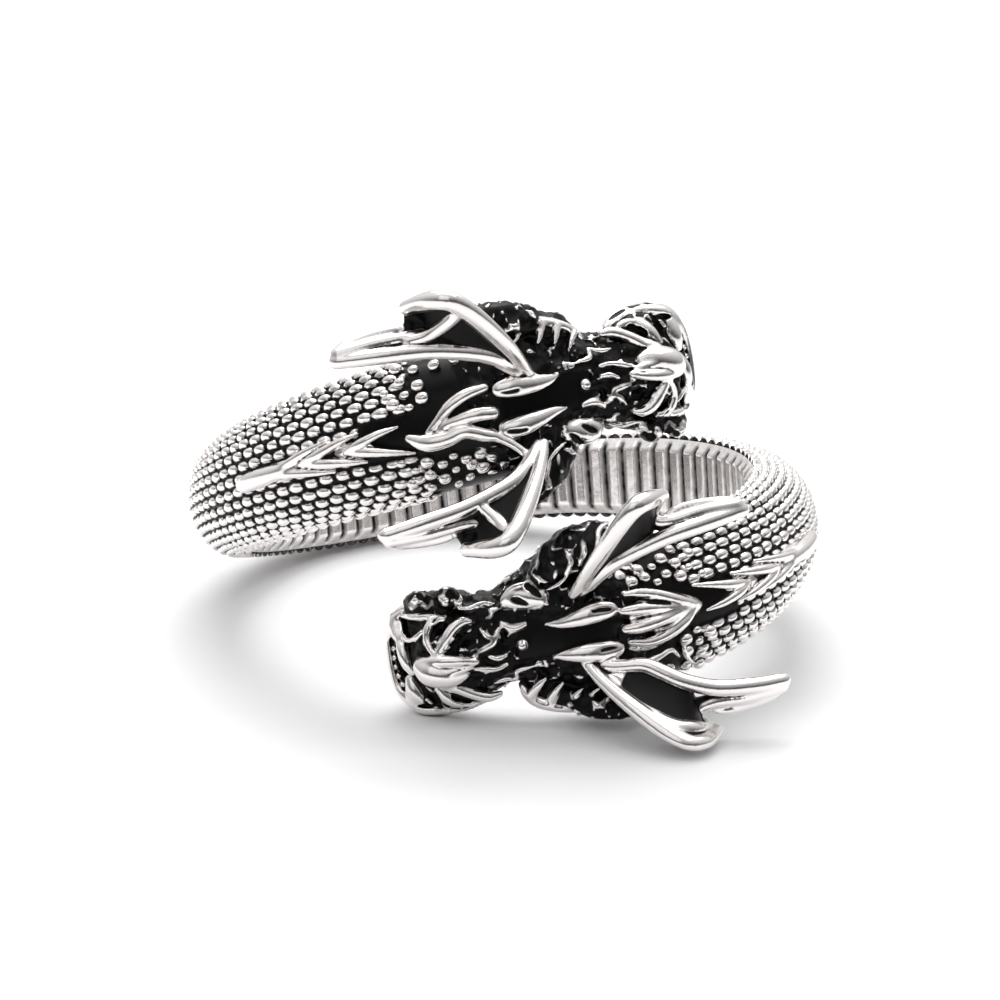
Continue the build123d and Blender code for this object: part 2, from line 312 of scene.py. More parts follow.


# %% [markdown]
# ## The inside of the band
# The wall that touches the finger has short grooves across it, between plain bevelled
# edges. On the real ring they save silver and let the air in. They are cut with a round
# file or stand in the wax already, and keep some black at the bottom.
#
# This is a second grid, bent with the same map. A smooth dip every 0.72 mm, faded out
# before the edges, gives both the depth of a groove and its black. The wall's two ends
# dip into the heads, because two surfaces in one place would flicker. The wall's polish
# is held below full, so that the whole inner wall is a little grey: painted shade, for
# this wall lies in shade.

# %% The grid of the inner wall
groove_pitch, groove_depth, groove_width = 0.72, 0.13, 0.55
groove_end_margin, groove_last_angle = 0.12, 161.5
inner_last_angle = 163.6                 # from here on the head's own underside is the finger wall
# the wall's polish below 1 greys the whole inner wall: painted shade
wall_polish_and_shade, groove_black, end_polish = 0.64, 0.30, 0.30
inner_dip = 0.12
inner_step, inner_points = 0.06, 33      # mm between points along the band, and points across it
seam = 0.04                              # mm by which the wall stays inside the scaled sides


def inner_band():
    steps = int(2 * np.radians(body_end) * finger_radius / inner_step)
    angle, share = np.meshgrid(np.linspace(-1, 1, steps) * band_reach, np.linspace(-1, 1, inner_points),
                               indexing="ij")
    across = share * (half_width(angle) - seam)
    arc = np.radians(angle) * finger_radius / groove_pitch
    groove = 1 - ease(abs(arc - np.round(arc)) * 2 / groove_width)
    groove = groove * ease((half_width(angle) - groove_end_margin - abs(across)) / 0.15)
    groove = groove * ease((groove_last_angle - abs(angle)) / 2)
    bevel = np.clip(abs(across) - (half_width(angle) - edge_bevel), 0, None)
    dip = ease((abs(angle) - inner_last_angle) / 1.5)
    height = bevel + groove_depth * groove + inner_dip * dip
    # the low base polish of the wall is painted shade; the grooves' black is oxide
    polish = wall_polish_and_shade - groove_black * groove + end_polish * ease((abs(angle) - groove_last_angle) / 1.5)
    return on_ring(angle, across, height).reshape(-1, 3), grid_faces(*angle.shape)[:, ::-1], polish.ravel()


piece("inner_wall", *inner_band(), silver)


# %% [markdown]
# ## Digital clay
# The heads of the real ring were carved: lips, nostrils, lids and petals flow into each
# other with no edge between them. Box modelling or curves would need a seam at each of
# those places, and joining hundreds of meshes is slow and fragile.
#
# So each head is sculpted in a block of digital clay. The block is a grid of distances to
# the surface, in mm and negative inside, beside a grid of tones, 1 for polished and 0 for
# black. Two forms are blended by taking the smaller of their distances with a soft
# transition, and carving is the same with the sign turned. Where a stroke reaches the
# clay, it also leaves its own tone there.

# %% A block of clay
class Clay:
    def __init__(self, low, high, step):
        self.low, self.step = np.array(low, np.float32), step
        self.size = np.ceil((np.array(high) - self.low) / step).astype(int) + 1
        self.field = np.full(self.size, 9, np.float32)
        self.tone = np.zeros(self.size, np.float32)

    def window(self, low, high):
        """The slices of the grid between two corners, and the coordinates in them."""
        first = np.clip(((low - self.low) / self.step).astype(int), 0, self.size - 1)
        last = np.clip(np.ceil((high - self.low) / self.step).astype(int) + 1, first + 1, self.size)
        axes = [self.low[k] + self.step * np.arange(first[k], last[k], dtype=np.float32) for k in range(3)]
        return tuple(slice(a, b) for a, b in zip(first, last)), np.meshgrid(*axes, indexing="ij", sparse=True)

    def whole(self):
        """The same for the whole grid."""
        return self.window(self.low, self.low + self.size * self.step)

    def add(self, where, distance, tone, blend):
        old = self.field[where]
        mix = np.clip(0.5 + 0.5 * (old - distance) / blend, 0, 1)
        self.field[where] = old + (distance - old) * mix - blend * mix * (1 - mix)
        self.tone[where] += (tone - self.tone[where]) * mix

    def carve(self, where, distance, tone, blend):
        old = self.field[where]
        mix = np.clip(0.5 - 0.5 * (old + distance) / blend, 0, 1)
        self.field[where] = old - (old + distance) * mix + blend * mix * (1 - mix)
        self.tone[where] += (tone - self.tone[where]) * mix


# %% [markdown]
# ### Strokes
# A stroke is what one pass of a wax tool leaves or takes away: a round bar that bends,
# swells and thins. It is given by two to twelve rows of along, across, height and
# radius, in mm. A smooth curve runs through the rows, and between two of its points the
# nearest distance to the bar is found by a short sum. Only the part of the block near
# the stroke is touched, so hundreds of strokes take a few seconds.

# %% A smooth path, and a stroke along it
def smooth_path(rows, steps=6):
    """The rows of a stroke, with more rows between them on a smooth curve."""
    rows = np.array(rows, np.float32)
    ends = np.vstack([2 * rows[0] - rows[1], rows, 2 * rows[-1] - rows[-2]])
    t = np.linspace(0, 1, steps, endpoint=False)[:, None]
    spans = [b + (c - a) * t / 2 + (a - 2.5 * b + 2 * c - d / 2) * t ** 2 + (1.5 * (b - c) + (d - a) / 2) * t ** 3
             for a, b, c, d in zip(ends, ends[1:], ends[2:], ends[3:])]
    return np.vstack(spans + [rows[-1:]])


def stroke(clay, rows, tone=1.0, side=1, tall=1.0, blend=0.05, carve=False):
    """Adds or carves a stroke. Rows are along, across, height and radius, in mm.
    A stroke that is less tall than 1 is flattened, and side -1 mirrors it."""
    path = smooth_path(rows) * np.array([1, side, 1, 1], np.float32)
    margin = 0.25
    stretch = max(tall, 1)
    reach = path[:, 3:].max() * stretch + margin
    where, _ = clay.window(path[:, :3].min(0) - reach, path[:, :3].max(0) + reach)
    distance = np.full(clay.field[where].shape, 9, np.float32)
    corner = [s.start for s in where]
    squeeze = np.array([1, 1, 1 / tall], np.float32)
    for start, end in zip(path, path[1:]):
        near = max(start[3], end[3]) * stretch + margin
        low, high = np.minimum(start, end)[:3] - near, np.maximum(start, end)[:3] + near
        inner, (a, c, h) = clay.window(low, high)
        local = tuple(slice(s.start - k, s.stop - k) for s, k in zip(inner, corner))
        p, run = start[:3] * squeeze, (end[:3] - start[:3]) * squeeze
        a, c, h = a - p[0], c - p[1], h / tall - p[2]
        share = np.clip((a * run[0] + c * run[1] + h * run[2]) / max(run @ run, 1e-9), 0, 1)
        gap = np.sqrt((a - share * run[0]) ** 2 + (c - share * run[1]) ** 2 + (h - share * run[2]) ** 2)
        gap -= start[3] + share * (end[3] - start[3])
        distance[local] = np.minimum(distance[local], gap)
    (clay.carve if carve else clay.add)(where, distance, tone, blend)


test_block = Clay((-1, -1, -1), (1, 1, 1), 0.05)
stroke(test_block, [(-0.3, 0, 0, 0.4), (0.3, 0, 0, 0.4)])
test_volume = np.count_nonzero(test_block.field < 0) * test_block.step ** 3
print("a test stroke, 1.4 mm long and 0.8 mm thick, holds", round(test_volume, 3), "cubic mm of clay")


# %% [markdown]
# ## The skull
# On the real ring the head is one solid wedge: low and narrow at the chin, widest and
# highest at the cheeks. It could be a stretched ball, but its outline in plan and from
# the side would then be tied together. A row of rounded sections keeps the two apart.
#
# The head's own map has its length along, towards the nose, its width across, towards
# the ring's middle, and its height above the finger. The skull is black all over, since
# only what the later strokes add is polished.

# %% The skull
# Columns: along, half width, height.
skull_sections = np.array([
    (7.15, 0.80, 0.42),
    (6.95, 1.30, 0.66),
    (6.5, 1.75, 0.86),
    (6.15, 1.85, 1.40),
    (5.7, 1.85, 1.90),
    (4.6, 1.90, 2.12),
    (3.5, 1.66, 1.95),
    (2.4, 1.70, 1.72),
    (1.4, 2.00, 1.80),
    (0.3, 2.50, 2.06),
    (-1.0, 2.60, 2.24),
    (-1.9, 2.60, 2.50),
    (-2.5, 2.50, 2.46),
    (-3.3, 2.20, 2.10),
])
skull_squareness = 2.4                   # 2 is an ellipse, and more has fuller corners
skull_steepness = 0.8                    # makes the shares of a section about as long as mm


def add_skull(clay):
    where, (along, across, height) = clay.whole()
    order = skull_sections[::-1]
    wide = np.interp(along, order[:, 0], order[:, 1])
    high = np.interp(along, order[:, 0], order[:, 2])
    reach = (np.abs(across) / wide) ** skull_squareness + (np.abs(height) / high) ** skull_squareness
    distance = (reach ** (1 / skull_squareness) - 1) * np.minimum(wide, high) * skull_steepness
    distance = np.maximum(distance, np.maximum(along - order[-1, 0], order[0, 0] - along))
    clay.add(where, distance.astype(np.float32), 0.0, 0.02)


print("the skull is", round(skull_sections[0, 0] - skull_sections[-1, 0], 1), "mm long and",
      round(2 * skull_sections[:, 1].max(), 1), "mm wide")


# %% [markdown]
# ## The features
# Every feature has a name, a kind of stroke and its rows, and they are made in the order
# of the tables. A few kinds are enough, as a carver needs only a few tools. What stands
# out is silver, what the wheel only brushed is worn, and what is cut in is black.

# %% Kinds of stroke
stroke_kinds = {
    "silver": dict(tone=1.0, tall=0.9, blend=0.05),
    "flat silver": dict(tone=1.0, tall=0.6, blend=0.05),
    "high silver": dict(tone=1.0, tall=1.7, blend=0.05),
    "worn": dict(tone=0.56, tall=0.9, blend=0.06),
    "black": dict(tone=0.0, blend=0.12),
    "groove": dict(tone=0.0, blend=0.03, carve=True),
}


def sculpt(clay, features):
    for kind, rows in features.values():
        stroke(clay, rows, **stroke_kinds[kind])


print(len(stroke_kinds), "kinds of stroke")


# %% [markdown]
# ### Under the silver
# The nose bumps, the cheeks and the bridge are broad dark masses on the real head, with
# the bright lines lying on top of them. They come first, with a wide blend, so that they
# grow out of the skull. The nostrils and the hollow of the cheek are cut into them at
# this stage, because they get the rough black skin as well.

# %% The lumps that lie under the silver
under_shapes = {
    "nose lump front": ("black", [(5.95, 1.60, 1.28, 0.26), (5.62, 1.76, 1.38, 0.38), (5.3, 1.70, 1.36, 0.28)]),
    "nose lump rear": ("black", [(4.65, 1.64, 1.36, 0.28), (4.38, 1.76, 1.42, 0.39), (4.05, 1.62, 1.36, 0.26)]),
    "notch between": ("groove", [(4.98, 2.10, 1.50, 0.16), (4.98, 1.75, 1.78, 0.12), (4.95, 1.50, 1.92, 0.06)]),
    "gum base": ("black", [(5.9, -1.70, 0.95, 0.34), (5.2, -1.80, 0.98, 0.40), (4.4, -1.84, 0.96, 0.40),
                           (3.7, -1.72, 0.94, 0.32)]),
    "nose bridge": ("black", [(3.9, 0.0, 1.92, 0.25), (3.2, -0.05, 1.78, 0.30), (2.4, -0.1, 1.58, 0.26)]),
    "inner cheek": ("black", [(0.9, 1.75, 1.35, 0.40), (0.2, 2.35, 1.50, 0.62), (-0.8, 2.75, 1.75, 0.72),
                              (-1.7, 2.95, 1.95, 0.55), (-2.3, 2.95, 2.0, 0.30)]),
    "outer cheek": ("black", [(0.9, -2.1, 1.2, 0.36), (0.1, -2.5, 1.35, 0.52), (-0.8, -2.8, 1.50, 0.60),
                              (-1.6, -3.05, 1.7, 0.44), (-2.2, -3.05, 1.85, 0.24)]),
    "eye socket": ("black", [(1.75, -1.75, 0.85, 0.34), (1.2, -2.05, 0.85, 0.46), (0.5, -2.25, 0.95, 0.46)]),
    "front nostril": ("groove", [(6.15, 0.95, 1.42, 0.24), (5.7, 0.98, 1.74, 0.27)]),
    "nostril bowl": ("groove", [(4.95, 0.72, 2.02, 0.24), (4.65, 0.95, 1.95, 0.26)]),
    "rear bowl": ("groove", [(4.25, 0.30, 2.10, 0.16), (3.85, 0.42, 2.02, 0.26), (3.4, 0.5, 1.88, 0.18)]),
    "cheek hollow": ("groove", [(4.0, -0.95, 1.98, 0.20), (3.4, -1.0, 1.86, 0.24), (2.8, -1.1, 1.66, 0.16)]),
}
print(len(under_shapes), "strokes under the silver")


# %% [markdown]
# ### The jaw and the lips
# The real jaw is a thick bright rim that runs round the chin and back on the outer side.
# The upper lip lies over it in rounded pads and strands, with one long fang at the side.
# Each is a single bar here. The rim is one long stroke of a tall kind, for its outer
# face stands upright.

# %% The jaw and the lips
jaw_and_lips = {
    "jaw far side": ("black", [(3.3, 1.40, 0.60, 0.2), (4.8, 1.60, 0.62, 0.28), (6.2, 1.45, 0.66, 0.28)]),
    "jaw rim": ("high silver", [(6.1, 1.48, 0.80, 0.14), (6.6, 1.30, 0.80, 0.22), (6.98, 0.90, 0.80, 0.25),
                                (7.17, 0.2, 0.80, 0.25), (7.14, -0.65, 0.80, 0.25), (6.95, -1.35, 0.80, 0.26),
                                (6.52, -1.90, 0.80, 0.28), (5.8, -2.22, 0.78, 0.29), (5.2, -2.32, 0.72, 0.22),
                                (4.5, -2.32, 0.70, 0.17), (3.8, -2.14, 0.72, 0.16), (3.3, -1.90, 0.80, 0.10)]),
    "front plate": ("silver", [(6.85, 1.15, 0.95, 0.24), (6.75, 0.72, 1.10, 0.28), (6.55, 0.52, 1.28, 0.22)]),
    "lip crescent": ("silver", [(6.55, 0.48, 1.30, 0.18), (6.42, 0.12, 1.48, 0.23), (6.3, -0.30, 1.52, 0.22),
                                (6.15, -0.66, 1.48, 0.13)]),
    "front lobe": ("silver", [(6.34, -0.95, 1.24, 0.22), (6.26, -1.32, 1.18, 0.36), (6.16, -1.70, 1.06, 0.38),
                              (6.02, -2.02, 0.96, 0.28)]),
    "jaw corner": ("silver", [(6.78, -1.30, 0.98, 0.26), (6.48, -1.78, 0.98, 0.36), (6.05, -2.08, 0.98, 0.36),
                              (5.55, -2.24, 0.94, 0.22)]),
    "lip pad": ("silver", [(5.48, -0.40, 2.00, 0.36), (5.16, -0.58, 2.03, 0.50), (4.72, -0.72, 2.00, 0.46),
                           (4.35, -0.80, 1.94, 0.34), (4.0, -0.78, 1.92, 0.20)]),
    "upper strand": ("silver", [(5.4, -0.20, 2.10, 0.19), (4.8, -0.20, 2.24, 0.22), (4.15, -0.24, 2.24, 0.20),
                                (3.6, -0.34, 2.12, 0.16), (3.42, -0.38, 2.06, 0.08)]),
    "middle strand": ("silver", [(4.9, -0.66, 2.14, 0.26), (4.3, -0.60, 2.16, 0.18), (3.7, -0.52, 2.06, 0.12)]),
    "lower strand": ("silver", [(4.75, -1.05, 1.86, 0.26), (4.3, -1.32, 1.70, 0.20), (3.8, -1.60, 1.50, 0.19),
                                (3.3, -1.78, 1.36, 0.19), (2.85, -1.76, 1.30, 0.12)]),
    "fang": ("silver", [(5.08, -1.28, 1.64, 0.15), (4.86, -1.60, 1.48, 0.26), (4.62, -1.88, 1.32, 0.23),
                        (4.35, -2.06, 1.20, 0.10)]),
    "gum": ("worn", [(4.4, -1.98, 1.24, 0.10), (4.0, -2.00, 1.22, 0.15), (3.6, -1.90, 1.20, 0.09)]),
}
print(len(jaw_and_lips), "strokes for the jaw and the lips")


# %% [markdown]
# ### The nose
# A loop of silver curls round the rear nostril, a rim frames the front one, and thin
# wrinkles cross the bridge. They are the finest bright lines of the head, 0.1 to 0.4 mm
# wide. Lines like these could be painted, but a wheel only polishes what stands up, so
# they are raised.

# %% The nose
nose = {
    "nostril loop front": ("silver", [(4.98, 1.22, 1.86, 0.08), (5.14, 0.92, 1.94, 0.15), (5.22, 0.6, 2.02, 0.12),
                                      (5.10, 0.22, 2.14, 0.09), (4.84, 0.0, 2.22, 0.10)]),
    "nostril loop rear": ("silver", [(4.86, 0.0, 2.22, 0.10), (4.66, 0.26, 2.20, 0.12), (4.45, 0.56, 2.12, 0.18),
                                     (4.18, 0.86, 2.02, 0.19), (3.85, 1.02, 1.90, 0.17), (3.5, 0.98, 1.80, 0.07)]),
    "nose line": ("silver", [(6.4, 1.28, 1.22, 0.08), (5.8, 1.27, 1.60, 0.11), (5.15, 1.28, 1.74, 0.11),
                             (4.6, 1.22, 1.82, 0.06)]),
    "nose rim": ("silver", [(6.55, 1.0, 1.10, 0.10), (6.42, 0.66, 1.32, 0.12), (6.05, 0.50, 1.66, 0.10),
                            (5.65, 0.62, 1.90, 0.09), (5.4, 0.85, 1.94, 0.05)]),
    "nose fleck": ("silver", [(5.75, 1.60, 1.72, 0.06), (5.5, 1.72, 1.68, 0.10), (5.3, 1.66, 1.66, 0.05)]),
    "far ridge": ("silver", [(4.05, 1.42, 1.52, 0.06), (3.6, 1.38, 1.56, 0.09), (3.1, 1.46, 1.42, 0.09),
                             (2.6, 1.36, 1.38, 0.06)]),
    "wrinkle front": ("silver", [(3.55, -0.20, 2.04, 0.08), (3.36, -0.04, 2.00, 0.09), (3.05, 0.06, 1.93, 0.09),
                                 (2.78, 0.16, 1.86, 0.08), (2.68, 0.38, 1.82, 0.08), (2.46, 0.58, 1.74, 0.06)]),
    "wrinkle rear": ("silver", [(3.22, 0.68, 1.84, 0.06), (2.96, 0.40, 1.88, 0.08), (2.75, 0.30, 1.86, 0.06)]),
    "bridge strand": ("worn", [(3.6, -0.62, 1.98, 0.06), (3.2, -0.72, 1.88, 0.10), (2.8, -0.78, 1.80, 0.09),
                               (2.4, -0.72, 1.72, 0.06)]),
    "bridge fleck": ("worn", [(3.0, -0.30, 1.96, 0.05), (2.7, -0.42, 1.88, 0.09), (2.35, -0.38, 1.80, 0.05)]),
    "cheek fleck": ("worn", [(3.0, -1.28, 1.66, 0.05), (2.6, -1.22, 1.64, 0.09), (2.2, -1.32, 1.56, 0.05)]),
}
print(len(nose), "strokes for the nose")


# %% [markdown]
# ### The mouth and the teeth
# The mouth is cut after the lips are on, so that its edge is crisp, and so are the holes
# in the side of the jaw. Five small teeth stand in a shallow bow behind the front rim.
# They are alike, so one loop sets them.

# %% The mouth
mouth = {
    "mouth": ("groove", [(7.0, 0.42, 1.14, 0.11), (6.93, 0.10, 1.20, 0.17), (6.9, -0.40, 1.22, 0.19),
                         (6.82, -0.88, 1.20, 0.17), (6.70, -1.22, 1.16, 0.11), (6.58, -1.42, 1.14, 0.05)]),
    "gap behind lip": ("groove", [(6.02, 0.25, 1.86, 0.10), (5.92, -0.12, 1.96, 0.13), (5.85, -0.42, 1.98, 0.10)]),
    "lip groove": ("groove", [(4.75, -0.42, 2.46, 0.03), (4.5, -0.43, 2.45, 0.05), (4.1, -0.42, 2.40, 0.05),
                              (3.7, -0.43, 2.26, 0.03)]),
    "mouth side": ("groove", [(5.78, -1.26, 1.52, 0.16), (5.46, -1.56, 1.40, 0.26), (5.34, -1.90, 1.28, 0.20)]),
    "mouth rear": ("groove", [(4.6, -1.62, 1.46, 0.14), (4.1, -1.82, 1.34, 0.14)]),
    "mouth line": ("groove", [(6.25, -2.02, 1.22, 0.04), (6.0, -2.02, 1.24, 0.09), (5.4, -2.08, 1.24, 0.09),
                              (4.8, -2.14, 1.18, 0.05)]),
    "jaw hole front": ("groove", [(6.25, -2.24, 0.86, 0.10), (5.7, -2.56, 0.84, 0.19), (5.4, -2.60, 0.86, 0.14)]),
    "jaw hole middle": ("groove", [(5.05, -2.62, 0.88, 0.12), (4.6, -2.60, 0.84, 0.18)]),
    "jaw hole rear": ("groove", [(4.2, -2.46, 0.84, 0.12), (3.75, -2.34, 0.84, 0.16), (3.45, -2.20, 0.86, 0.10)]),
}
print(len(mouth), "cuts for the mouth")

# %% The teeth
teeth = {"count": 5, "first": (7.0, 0.12), "last": (6.80, -1.15), "height": 1.04, "radius": 0.09}
tooth_bow, tooth_lean, tooth_rise = 0.14, 0.16, 0.10


def add_teeth(clay):
    first, last = np.array(teeth["first"]), np.array(teeth["last"])
    height, radius = teeth["height"], teeth["radius"]
    for share in np.linspace(0, 1, teeth["count"]):
        along, across = first + (last - first) * share
        along += tooth_bow * np.sin(np.pi * share)
        stroke(clay, [(along, across, height, radius),
                      (along - tooth_lean, across, height + tooth_rise, radius * 0.5)])


print(teeth["count"], "teeth, each", 2 * teeth["radius"], "mm thick at its foot")


# %% [markdown]
# ### The brow and the eyes
# Two smooth leaves lie side by side on the brow, each with a short slot. Beside them the
# lids fan out over the eye, and on the outer side a thick rim carries four spikes that
# reach up over it. The leaves are of the flat kind, since their tops are almost level.

# %% The brow
brow = {
    "inner brow leaf": ("flat silver", [(0.84, 0.46, 2.0, 0.06), (0.25, 0.46, 2.22, 0.19), (-0.4, 0.56, 2.38, 0.31),
                                        (-1.0, 0.65, 2.46, 0.36), (-1.45, 0.65, 2.48, 0.28),
                                        (-1.65, 0.64, 2.46, 0.12)]),
    "inner brow slot": ("groove", [(-0.80, 0.78, 2.64, 0.05), (-1.15, 0.76, 2.68, 0.07), (-1.45, 0.70, 2.66, 0.05)]),
    "outer brow leaf": ("flat silver", [(0.74, -0.70, 2.0, 0.06), (0.3, -0.66, 2.22, 0.20), (-0.3, -0.67, 2.38, 0.32),
                                        (-0.95, -0.72, 2.46, 0.37), (-1.4, -0.73, 2.48, 0.29),
                                        (-1.6, -0.72, 2.46, 0.12)]),
    "outer brow slot": ("groove", [(-0.85, -0.62, 2.66, 0.05), (-1.2, -0.60, 2.70, 0.07), (-1.45, -0.62, 2.68, 0.05)]),
}

# %% The eyes
eyes = {
    "inner fan": ("flat silver", [(2.08, 1.36, 1.48, 0.30), (1.7, 1.46, 1.58, 0.44), (1.2, 1.44, 1.66, 0.46),
                                  (0.8, 1.34, 1.78, 0.30)]),
    "inner fan front slot": ("groove", [(1.95, 1.50, 1.86, 0.08), (1.65, 1.36, 1.92, 0.14), (1.28, 1.12, 1.98, 0.10)]),
    "inner fan middle slot": ("groove", [(1.25, 1.86, 1.80, 0.12), (1.0, 1.62, 1.94, 0.12), (0.75, 1.36, 2.04, 0.08)]),
    "inner fan rear slot": ("groove", [(0.72, 1.85, 1.80, 0.10), (0.5, 1.60, 1.98, 0.08)]),
    "lower lid": ("silver", [(2.42, 0.70, 1.62, 0.07), (2.18, 0.54, 1.72, 0.11), (1.88, 0.48, 1.78, 0.11),
                             (1.55, 0.54, 1.80, 0.06)]),
    "outer lid": ("silver", [(2.12, -1.28, 1.54, 0.09), (2.12, -1.04, 1.66, 0.10), (1.82, -0.98, 1.74, 0.08),
                             (1.40, -0.94, 1.82, 0.05)]),
    "outer eye rim": ("high silver", [(2.02, -1.66, 1.16, 0.13), (1.84, -2.00, 1.10, 0.24), (1.42, -2.36, 1.05, 0.31),
                                      (0.85, -2.62, 1.06, 0.31), (0.25, -2.76, 1.12, 0.28), (-0.3, -2.78, 1.22, 0.20),
                                      (-0.65, -2.72, 1.34, 0.08)]),
    "outer spike front": ("silver", [(1.72, -2.0, 1.42, 0.22), (1.42, -1.68, 1.64, 0.16), (1.12, -1.44, 1.82, 0.06)]),
    "outer spike middle": ("silver", [(1.05, -2.40, 1.42, 0.20), (0.82, -1.98, 1.68, 0.13), (0.55, -1.68, 1.88, 0.06)]),
    "outer spike rear": ("silver", [(0.40, -2.58, 1.48, 0.20), (0.15, -2.22, 1.74, 0.12), (-0.1, -2.00, 1.94, 0.05)]),
    "outer spike last": ("worn", [(-0.2, -2.62, 1.60, 0.13), (-0.42, -2.25, 1.90, 0.09), (-0.7, -2.05, 2.06, 0.05)]),
    "brow bead": ("silver", [(1.80, -0.16, 1.78, 0.16), (1.74, -0.16, 1.78, 0.16)]),
}
print(len(brow) + len(eyes), "strokes for the brow and the eyes")


# %% [markdown]
# ### The cheeks
# The inner cheek is crumpled into wavy ridges, like the fins of a fish. The outer one is
# smooth but for its crumpled edge and three spurs. All but that edge are of the worn
# kind: the wheel has only brushed them, so that they stay greyer than the brow.

# %% The cheeks
cheek_ridges = {
    "first": ("worn", [(0.62, 1.90, 1.88, 0.06), (0.72, 2.30, 1.74, 0.11), (0.45, 2.80, 1.60, 0.10),
                       (0.12, 3.05, 1.50, 0.06)]),
    "second": ("worn", [(0.20, 2.00, 2.08, 0.06), (0.05, 2.40, 2.12, 0.11), (0.02, 2.85, 1.97, 0.11),
                        (-0.30, 3.28, 1.78, 0.07)]),
    "third": ("worn", [(-0.2, 2.10, 2.28, 0.06), (-0.45, 2.55, 2.40, 0.10), (-0.40, 3.05, 2.22, 0.12),
                       (-0.85, 3.42, 1.96, 0.07)]),
    "fourth": ("worn", [(-0.7, 2.35, 2.46, 0.06), (-0.95, 2.80, 2.50, 0.11), (-1.05, 3.25, 2.26, 0.11),
                        (-1.5, 3.54, 2.0, 0.07)]),
    "fifth": ("worn", [(-1.2, 2.55, 2.48, 0.06), (-1.5, 2.95, 2.50, 0.11), (-1.7, 3.32, 2.30, 0.10),
                       (-2.2, 3.46, 2.08, 0.06)]),
    "sixth": ("worn", [(0.55, 1.62, 2.02, 0.05), (0.1, 1.80, 2.20, 0.08), (-0.3, 2.10, 2.30, 0.05)]),
    "seventh": ("worn", [(-0.2, 1.55, 2.30, 0.05), (-0.7, 1.75, 2.40, 0.08), (-1.1, 2.10, 2.50, 0.05)]),
}
outer_cheek = {
    "edge": ("silver", [(-0.5, -2.90, 1.40, 0.09), (-0.8, -3.08, 1.46, 0.13), (-1.2, -3.16, 1.56, 0.10),
                        (-1.6, -3.26, 1.66, 0.13), (-2.1, -3.24, 1.76, 0.09), (-2.6, -3.12, 1.88, 0.06)]),
    "first spur": ("worn", [(-0.5, -2.92, 1.66, 0.11), (-0.72, -2.62, 1.98, 0.08), (-0.95, -2.42, 2.10, 0.05)]),
    "second spur": ("worn", [(-1.0, -3.0, 1.78, 0.11), (-1.22, -2.72, 2.08, 0.08), (-1.5, -2.60, 2.18, 0.05)]),
    "third spur": ("worn", [(-1.5, -3.1, 1.92, 0.11), (-1.75, -2.86, 2.12, 0.08), (-2.05, -2.80, 2.18, 0.05)]),
    "second line": ("worn", [(-0.7, -2.80, 1.80, 0.05), (-1.3, -2.98, 1.92, 0.09), (-1.8, -3.05, 2.0, 0.07),
                             (-2.3, -3.0, 2.08, 0.05)]),
}
print(len(cheek_ridges) + len(outer_cheek), "strokes for the cheeks")


# %% [markdown]
# ### The crests
# The two heads aren't quite twins. Behind the brow one crest opens like a tulip, and the
# other is a curl in the shape of an S. The upper head also has a thinner eye rim with
# small teeth. Only what differs is written twice: a changed feature has the name of the
# one that it takes the place of, and it is made at the same point in the order.

# %% The crest like a tulip
tulip_crest = {
    "body": ("flat silver", [(-2.5, 0.22, 2.48, 0.48), (-2.8, 0.20, 2.50, 0.62), (-3.3, 0.16, 2.54, 0.72),
                             (-3.9, 0.08, 2.56, 0.58), (-4.45, 0.03, 2.54, 0.38), (-4.95, 0.0, 2.50, 0.10)]),
    "upper petal": ("silver", [(-2.05, 1.04, 2.50, 0.07), (-2.6, 1.00, 2.62, 0.15), (-3.2, 0.80, 2.74, 0.18),
                               (-3.85, 0.44, 2.78, 0.20), (-4.5, 0.12, 2.68, 0.14), (-4.85, 0.0, 2.60, 0.05)]),
    "upper middle petal": ("silver", [(-1.85, 0.52, 2.58, 0.13), (-2.4, 0.48, 2.72, 0.22), (-3.1, 0.38, 2.82, 0.22),
                                      (-3.8, 0.22, 2.82, 0.14)]),
    "lower middle petal": ("silver", [(-1.85, -0.12, 2.58, 0.16), (-2.4, -0.12, 2.74, 0.24),
                                      (-3.1, -0.06, 2.84, 0.22), (-3.8, 0.02, 2.82, 0.14)]),
    "lower petal": ("silver", [(-1.95, -0.62, 2.50, 0.10), (-2.6, -0.74, 2.60, 0.17), (-3.3, -0.64, 2.70, 0.19),
                               (-3.95, -0.38, 2.74, 0.20), (-4.5, -0.08, 2.66, 0.14)]),
    "upper slot": ("groove", [(-1.9, 0.88, 2.76, 0.11), (-2.5, 0.82, 2.88, 0.14), (-3.0, 0.64, 2.94, 0.12),
                              (-3.5, 0.44, 2.96, 0.06)]),
    "lower slot": ("groove", [(-2.0, -0.42, 2.76, 0.08), (-2.6, -0.42, 2.88, 0.12), (-3.1, -0.36, 2.94, 0.11),
                              (-3.6, -0.26, 2.96, 0.06)]),
    "middle line": ("groove", [(-1.8, 0.20, 2.78, 0.06), (-2.6, 0.18, 2.94, 0.05), (-3.4, 0.16, 3.03, 0.045),
                               (-4.1, 0.12, 2.98, 0.03)]),
    "side leaf": ("silver", [(-1.9, -0.86, 2.46, 0.05), (-2.5, -0.96, 2.52, 0.09), (-3.05, -0.88, 2.54, 0.09),
                             (-3.5, -0.76, 2.52, 0.05)]),
    "small curl": ("worn", [(-4.0, -1.15, 2.36, 0.05), (-3.95, -1.45, 2.32, 0.09), (-4.15, -1.8, 2.20, 0.08),
                            (-4.45, -2.05, 2.06, 0.05)]),
    "outer leaf": ("silver", [(-1.3, -1.22, 2.40, 0.07), (-1.9, -1.52, 2.46, 0.13), (-2.4, -1.44, 2.50, 0.15),
                              (-2.9, -1.36, 2.48, 0.12), (-3.4, -1.26, 2.44, 0.10), (-3.7, -1.58, 2.36, 0.06)]),
}

